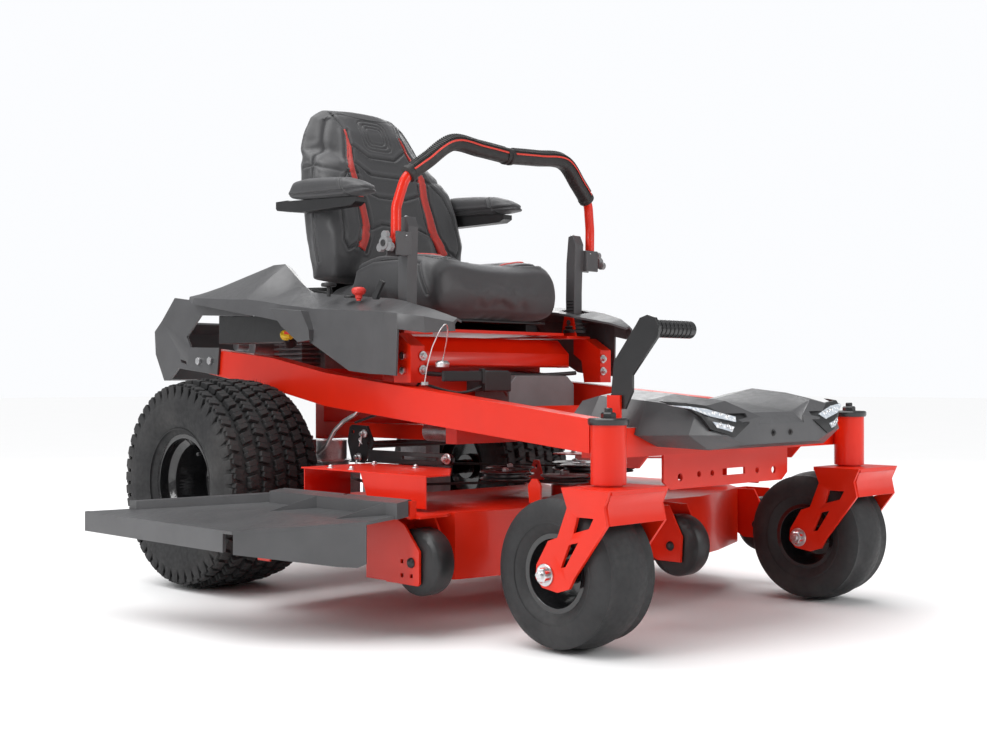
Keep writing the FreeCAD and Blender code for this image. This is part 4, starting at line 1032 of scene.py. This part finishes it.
def headlights():
    """A black housing on each side of the cowl with two strips of diodes under clear covers."""
    for side, sign in SIDES.items():
        shell, clear, chips = bmesh.new(), bmesh.new(), bmesh.new()
        draped(shell, [(sign * x, z) for x, z in HOUSING], 4, 9)
        for strip in STRIPS:
            draped(clear, [(sign * x, z) for x, z in strip], 6.5, 5)
        for x, z in ((236, 494), (216, 490), (196, 486), (232, 470), (215, 466), (203, 461)):
            spot = at(sign * x, cowl_front(x, z) - 6.5, z)
            turned(chips, spot, (0, -1, 0.3), [(4.8, -1), (5.2, 0.6), (3.6, 1.2), (2, 0.6)], 20)
        put("headlight_housing_" + side, shell, "chassis", "black_plastic")
        put("headlight_strips_" + side, clear, "chassis", "lamp_lens")
        put("headlight_diodes_" + side, chips, "chassis", "lamp_lens", material=MATERIALS["zinc_steel"])
    screws = bmesh.new()
    for x in (-34, 34):
        bolt(screws, at(x, -1484, 447), (0, -1, 0), 10, 5)
    put("cowl_screws", screws, "chassis", "black_paint")


def fasteners():
    """Bolts, nuts and caps seen on the frame and deck, each riding on what it holds."""
    chassis, deck = bmesh.new(), bmesh.new()
    bolt(chassis, at(-386, -1335, 520), (-1, 0, 0), 20, 10)
    for side, sign in SIDES.items():
        for z in (590, 625):
            bolt(chassis, at(sign * 345, -665, z), (0, -1, 0), 16, 9)
        for x, y in ((552, -640), (552, -560), (400, -700), (380, -520)):
            bolt(deck, at(sign * x, y, 350), UP, 13, 7)
        fork = bmesh.new()
        reach = size("caster_fork_" + side).x / 2 - 0.013
        for face in (-1, 1):
            head = middle("caster_tyre_" + side) + Vector((face * reach, 0, 0))
            stack(fork, head, (face, 0, 0), (32, 23, 0, 3, 21.5, 4), (6, 16.5, 3, 12.5, 14, 15),
                  (20, 7.5, 12, 19, 6, 20.5))
        put("fork_bolts_" + side, fork, "caster_" + side, "zinc_steel")
    put("frame_bolts", chassis, "chassis", "zinc_steel")
    put("deck_cover_bolts", deck, "deck", "zinc_steel")


def barrel_caps():
    """Black cap washer and nut on top of each caster barrel."""
    for side, sign in SIDES.items():
        work, foot = bmesh.new(), at(sign * 473, -1376, 476)
        turned(work, foot, UP, [(41, -4), (43, 0), (43, 7), (40, 10), (18, 11)], 48)
        stack(work, foot, UP, (6, 16, 10, 19, 13.5, 22), (20, 8.5, 20, 29, 7, 31))
        put("barrel_cap_" + side, work, "chassis", "black_paint")


def hairpin(name, body, pin, heading, reach=0.03):
    """A bent wire clip through a pin: two round loops joined by a straight leg."""
    heading = Vector(heading).normalized()
    across = heading.cross(Vector((-1, 0, 0))).normalized()
    points = [pin - heading * reach * 0.2]
    for k in range(9):
        angle = math.pi * (k / 4 + 0.5)
        ahead, aside = 0.55 + 0.3 * math.sin(angle / 2), 0.26 * math.cos(angle)
        points.append(pin + heading * reach * ahead + across * reach * aside)
    points.append(pin + heading * reach * 1.15 + across * 0.1 * reach)
    tube(name, points, 0.0014, body, "zinc_steel")


def deck_lift_details():
    """Lift quadrant pins and clips, the stepped bolt in the slotted arm, the bent lift rod and its hangers."""
    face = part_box("lift_bellcrank")[0].x

    def on_face(y, z, proud=0.001):
        return Vector((face + proud, at(0, y, 0).y, z * MM))

    body, out = "lift_bellcrank", (-1, 0, 0)
    work = bmesh.new()
    stack(work, on_face(-745, 371), out, (32, 13.5, 0, 3, 12, 4), (6, 10.5, 3, 9, 9, 10.5),
          (24, 6, 9, 15, 5, 16))
    for y, z in ((-428, 424), (-405, 362)):
        turned(work, on_face(y, z), out, [(11, 0), (11, 4), (6, 5), (6, 14), (5, 15)], 24)
    put("lift_pins", work, body, "zinc_steel")
    hairpin("lift_clip_upper", body, on_face(-430, 424, -0.010), (0, 0.25, -1))
    hairpin("lift_clip_lower", body, on_face(-406, 360, -0.010), (0, -0.3, -1), 0.024)
    rod = [(-352, -440, 500), (-358, -418, 476), (-362, -372, 456), (-366, -340, 432), (-366, -304, 390),
           (-362, -262, 368)]
    tube("lift_rod", [at(*p) for p in rod], 0.0055, "chassis", "zinc_steel", order=2)
    outline = [(-1138, 292), (-1104, 292), (-1100, 330), (-1112, 346), (-1128, 346), (-1140, 330)]
    for side, sign in SIDES.items():
        tab = lofted(bmesh.new(), [[at(sign * x, y, z) for y, z in outline] for x in (418, 424)])
        bevel(put("hanger_tab_" + side, tab, "deck", "orange_red_paint"), 0.0015)


def pulleys():
    """Idler pulleys of the deck belt, with their bolts."""
    work, bolts = bmesh.new(), bmesh.new()
    groove = [(12, 0), (60, 0), (64, 2), (64, 4), (52, 8.5), (52, 13.5), (64, 18), (64, 20), (60, 22), (30, 22),
              (28, 16), (12, 16)]
    for x, y in ((-190, -800), (-60, -690), (150, -760), (230, -660)):
        turned(work, at(x, y, 316), UP, groove, 48)
        bolt(bolts, at(x, y, 334), UP, 17, 10)
    put("idler_pulleys", work, "deck", "black_paint")
    put("idler_bolts", bolts, "deck", "zinc_steel")


def control_box():
    """Black switch box under the seat with the arm that carries it."""
    outline = [(-50, -27), (50, -27), (50, 20), (40, 27), (-40, 27), (-50, 22)]
    rings = [[at(-166 + x * grow, y, 562 + z * grow) for x, z in outline]
             for y, grow in ((-752, 0.94), (-748, 1.0), (-690, 1.0), (-684, 0.95))]
    bevel(put("control_box", lofted(bmesh.new(), rings), "chassis", "black_plastic"), 0.003)
    arm = bmesh.new()
    block(arm, at(-282, -744, 574), (0.138, 0.010, 0.026))
    block(arm, at(-216, -744, 574), (0.010, 0.016, 0.040))
    bevel(put("control_box_arm", arm, "chassis", "black_paint"), 0.0025)


def muffler():
    """Ribbed steel tube seen through the frame window on each side."""
    profile = [(4, 0)]
    for along in range(4, 134, 5):
        profile += [(21, along), (24.5, along + 1.2), (24.5, along + 2.6), (21, along + 3.8)]
    profile.append((4, 140))
    for side, sign in SIDES.items():
        work = turned(bmesh.new(), at(sign * 250, -715, 432), (0, 1, 0), profile, 40)
        put("cooling_tube_" + side, work, "chassis", "zinc_steel", 25)


def fuel_neck():
    """Slanted filler neck under the fender's rear edge, with its yellow ratchet cap."""
    foot, heading = at(-322, -78, 681), (-0.55, -0.35, 0.76)
    neck = turned(bmesh.new(), foot, heading, [(18, -20), (18, 4), (20.5, 6), (20.5, 11)], 40)
    put("filler_neck", neck, "chassis", "black_plastic")
    matrix = Matrix.Translation(foot) @ frame_of(heading)
    rings = []
    for along, radius in ((0.010, 0.019), (0.011, 0.021), (0.021, 0.021), (0.0235, 0.0185), (0.0245, 0.0135)):
        ribbed = 0.022 if 0.0105 < along < 0.022 else 0
        ring = []
        for angle in (math.tau * k / 96 for k in range(96)):
            r = radius * (1 + ribbed * math.cos(24 * angle))
            ring.append(matrix @ Vector((r * math.cos(angle), r * math.sin(angle), along)))
        rings.append(ring)
    cap = lofted(bmesh.new(), rings)
    block(cap, matrix @ Vector((0, 0, 0.026)), (0.022, 0.0055, 0.0055), frame_of(heading))
    put("filler_cap", cap, "chassis", "yellow_plastic")


def hubs():
    """Grey hub cap and axle nut in the middle of each drive wheel."""
    for side, sign in SIDES.items():
        out, body = (sign, 0, 0), "rear_wheel_" + side
        tree = surface_of(frame["nodes"]["rear_rim_" + side])
        face = onto(tree, middle("rear_tyre_" + side), (-sign, 0, 0))
        cap = turned(bmesh.new(), face, out, [(33, -3), (33, 6), (29, 11), (14, 12)], 40)
        put("hub_cap_" + side, cap, body, "grey_plastic")
        nut = bmesh.new()
        stack(nut, face, out, (6, 16.5, 11, 21, 14, 23.5), (20, 9.5, 22, 29, 8, 31))
        put("hub_nut_" + side, nut, body, "zinc_steel")


def valve_stems():
    """A rubber valve through each rim."""
    stem = [(7, -8), (6.2, 4), (4.2, 10), (4, 20), (5.2, 21), (5.2, 29), (3.5, 31)]
    for side, sign in SIDES.items():
        for kind, radius, body in (("rear", 0.108, "rear_wheel_"), ("caster", 0.058, "caster_wheel_")):
            tyre = f"{kind}_tyre_{side}"
            reach = Vector((sign * size(tyre).x * 0.3, radius * math.cos(2.2), radius * math.sin(2.2)))
            work = turned(bmesh.new(), middle(tyre) + reach, (sign, -0.15, -0.2), stem, 20)
            put(f"{kind}_valve_{side}", work, body + side, "black_plastic")


def console():
    """Key switch and lever cap on the right fender."""
    knob = [(5, 0), (5, 24), (19, 26), (21, 30), (19, 35), (8, 37)]
    switch = [(14, 0), (15, 3), (12, 5), (8.5, 5), (8, 3)]
    lever = turned(bmesh.new(), at(-400, -357, 784), UP, knob, 28)
    put("park_brake_cap", lever, "chassis", "black_plastic", 40)
    put("key_switch", turned(bmesh.new(), at(-392, -434, 778), UP, switch, 28), "chassis", "black_plastic")


def cables():
    """Hoses and cables that show between the frame, engine and deck: (radius, points) in millimetres."""
    runs = {
        "box_wire_front": (3.5, [(-216, -740, 548), (-262, -736, 530), (-300, -700, 536), (-330, -650, 556)]),
        "box_wire_rear": (3.5, [(-120, -720, 545), (-80, -700, 520), (-40, -660, 530), (0, -620, 560)]),
        "fuel_hose": (5, [(-330, -150, 690), (-300, -200, 650), (-250, -160, 640), (-200, -120, 660)]),
        "brake_cable": (3.5, [(-330, -640, 560), (-330, -560, 500), (-300, -420, 470), (-280, -320, 450)]),
        "wiring_loom": (6, [(-300, -600, 585), (-180, -560, 575), (0, -590, 585), (180, -560, 575),
                            (300, -600, 585)]),
    }
    for name, (radius, points) in runs.items():
        tube(name, [at(*p) for p in points], radius * MM, "chassis", "black_plastic")


# ---- making

ROUNDED = {
    # material slot: edge radius of each node, in millimetres
    "orange_red_paint": {
        "frame_rail": 3, "front_axle_beam": 2.5, "foot_deck": 1.5, "rear_frame": 2,
        "seat_supports": 1.5, "seat_front_panel": 2, "deck_shell": 2.5, "deck_belt_cover": 1.5,
        "caster_fork": 2, "lap_bar": 1,
    },
    "charcoal_plastic": {
        "front_cowl": 2.5, "rear_bumper": 3, "fender": 3.5, "discharge_chute": 3, "drive_arm": 3,
    },
    "lamp_lens": {"headlight_lenses": 1.5},
    "black_plastic": {
        "fuel_tank": 6, "engine_blower_housing": 4, "throttle_lever": 1.5, "armrest_bracket": 2,
        "anti_scalp_wheel": 3,
    },
    "cast_metal": {"engine_block": 2, "transaxles": 2.5, "blade_spindle": 1.2},
    "grey_plastic": {"battery_box": 3, "adjust_knob": 2.5},
    "zinc_steel": {"chassis_fasteners": 0.8, "tether_cable": 0.5, "pto_pulley": 1},
    "black_paint": {"seat_slide_frame": 1.5, "lift_pedal": 1.2, "lift_bellcrank": 1.2},
    "belt_rubber": {"deck_belt": 1},
    "red_plastic": {"pto_knob": 1.5},
    "yellow_plastic": {"fuel_cap": 2},
    "black_rim": {"rear_rim": 1.5, "caster_rim": 1.2},
}


def rigid_nodes():
    """Every rigid CAD node with rounded edges and its own finish."""
    soft = ("seat_back", "seat_cushion", "armrest_pad", "rear_tyre", "caster_tyre", "lap_bar_grip")
    finishes = {node: (slot, radius) for slot, nodes in ROUNDED.items() for node, radius in nodes.items()}
    for name in sorted(frame["nodes"]):
        if name.startswith(soft):
            continue
        stem = name
        while stem not in finishes:
            stem = stem.rpartition("_")[0]
        slot, radius = finishes[stem]
        softened(name, slot, radius * MM)


for make in (camera, studio, rigid_nodes, seat_back, seat_cushion, armrests, rear_tyres, caster_tyres, grips, towers,
             headlights, fasteners, hubs, valve_stems, console, cables, barrel_caps, deck_lift_details, pulleys,
             control_box, muffler, fuel_neck):
    make()
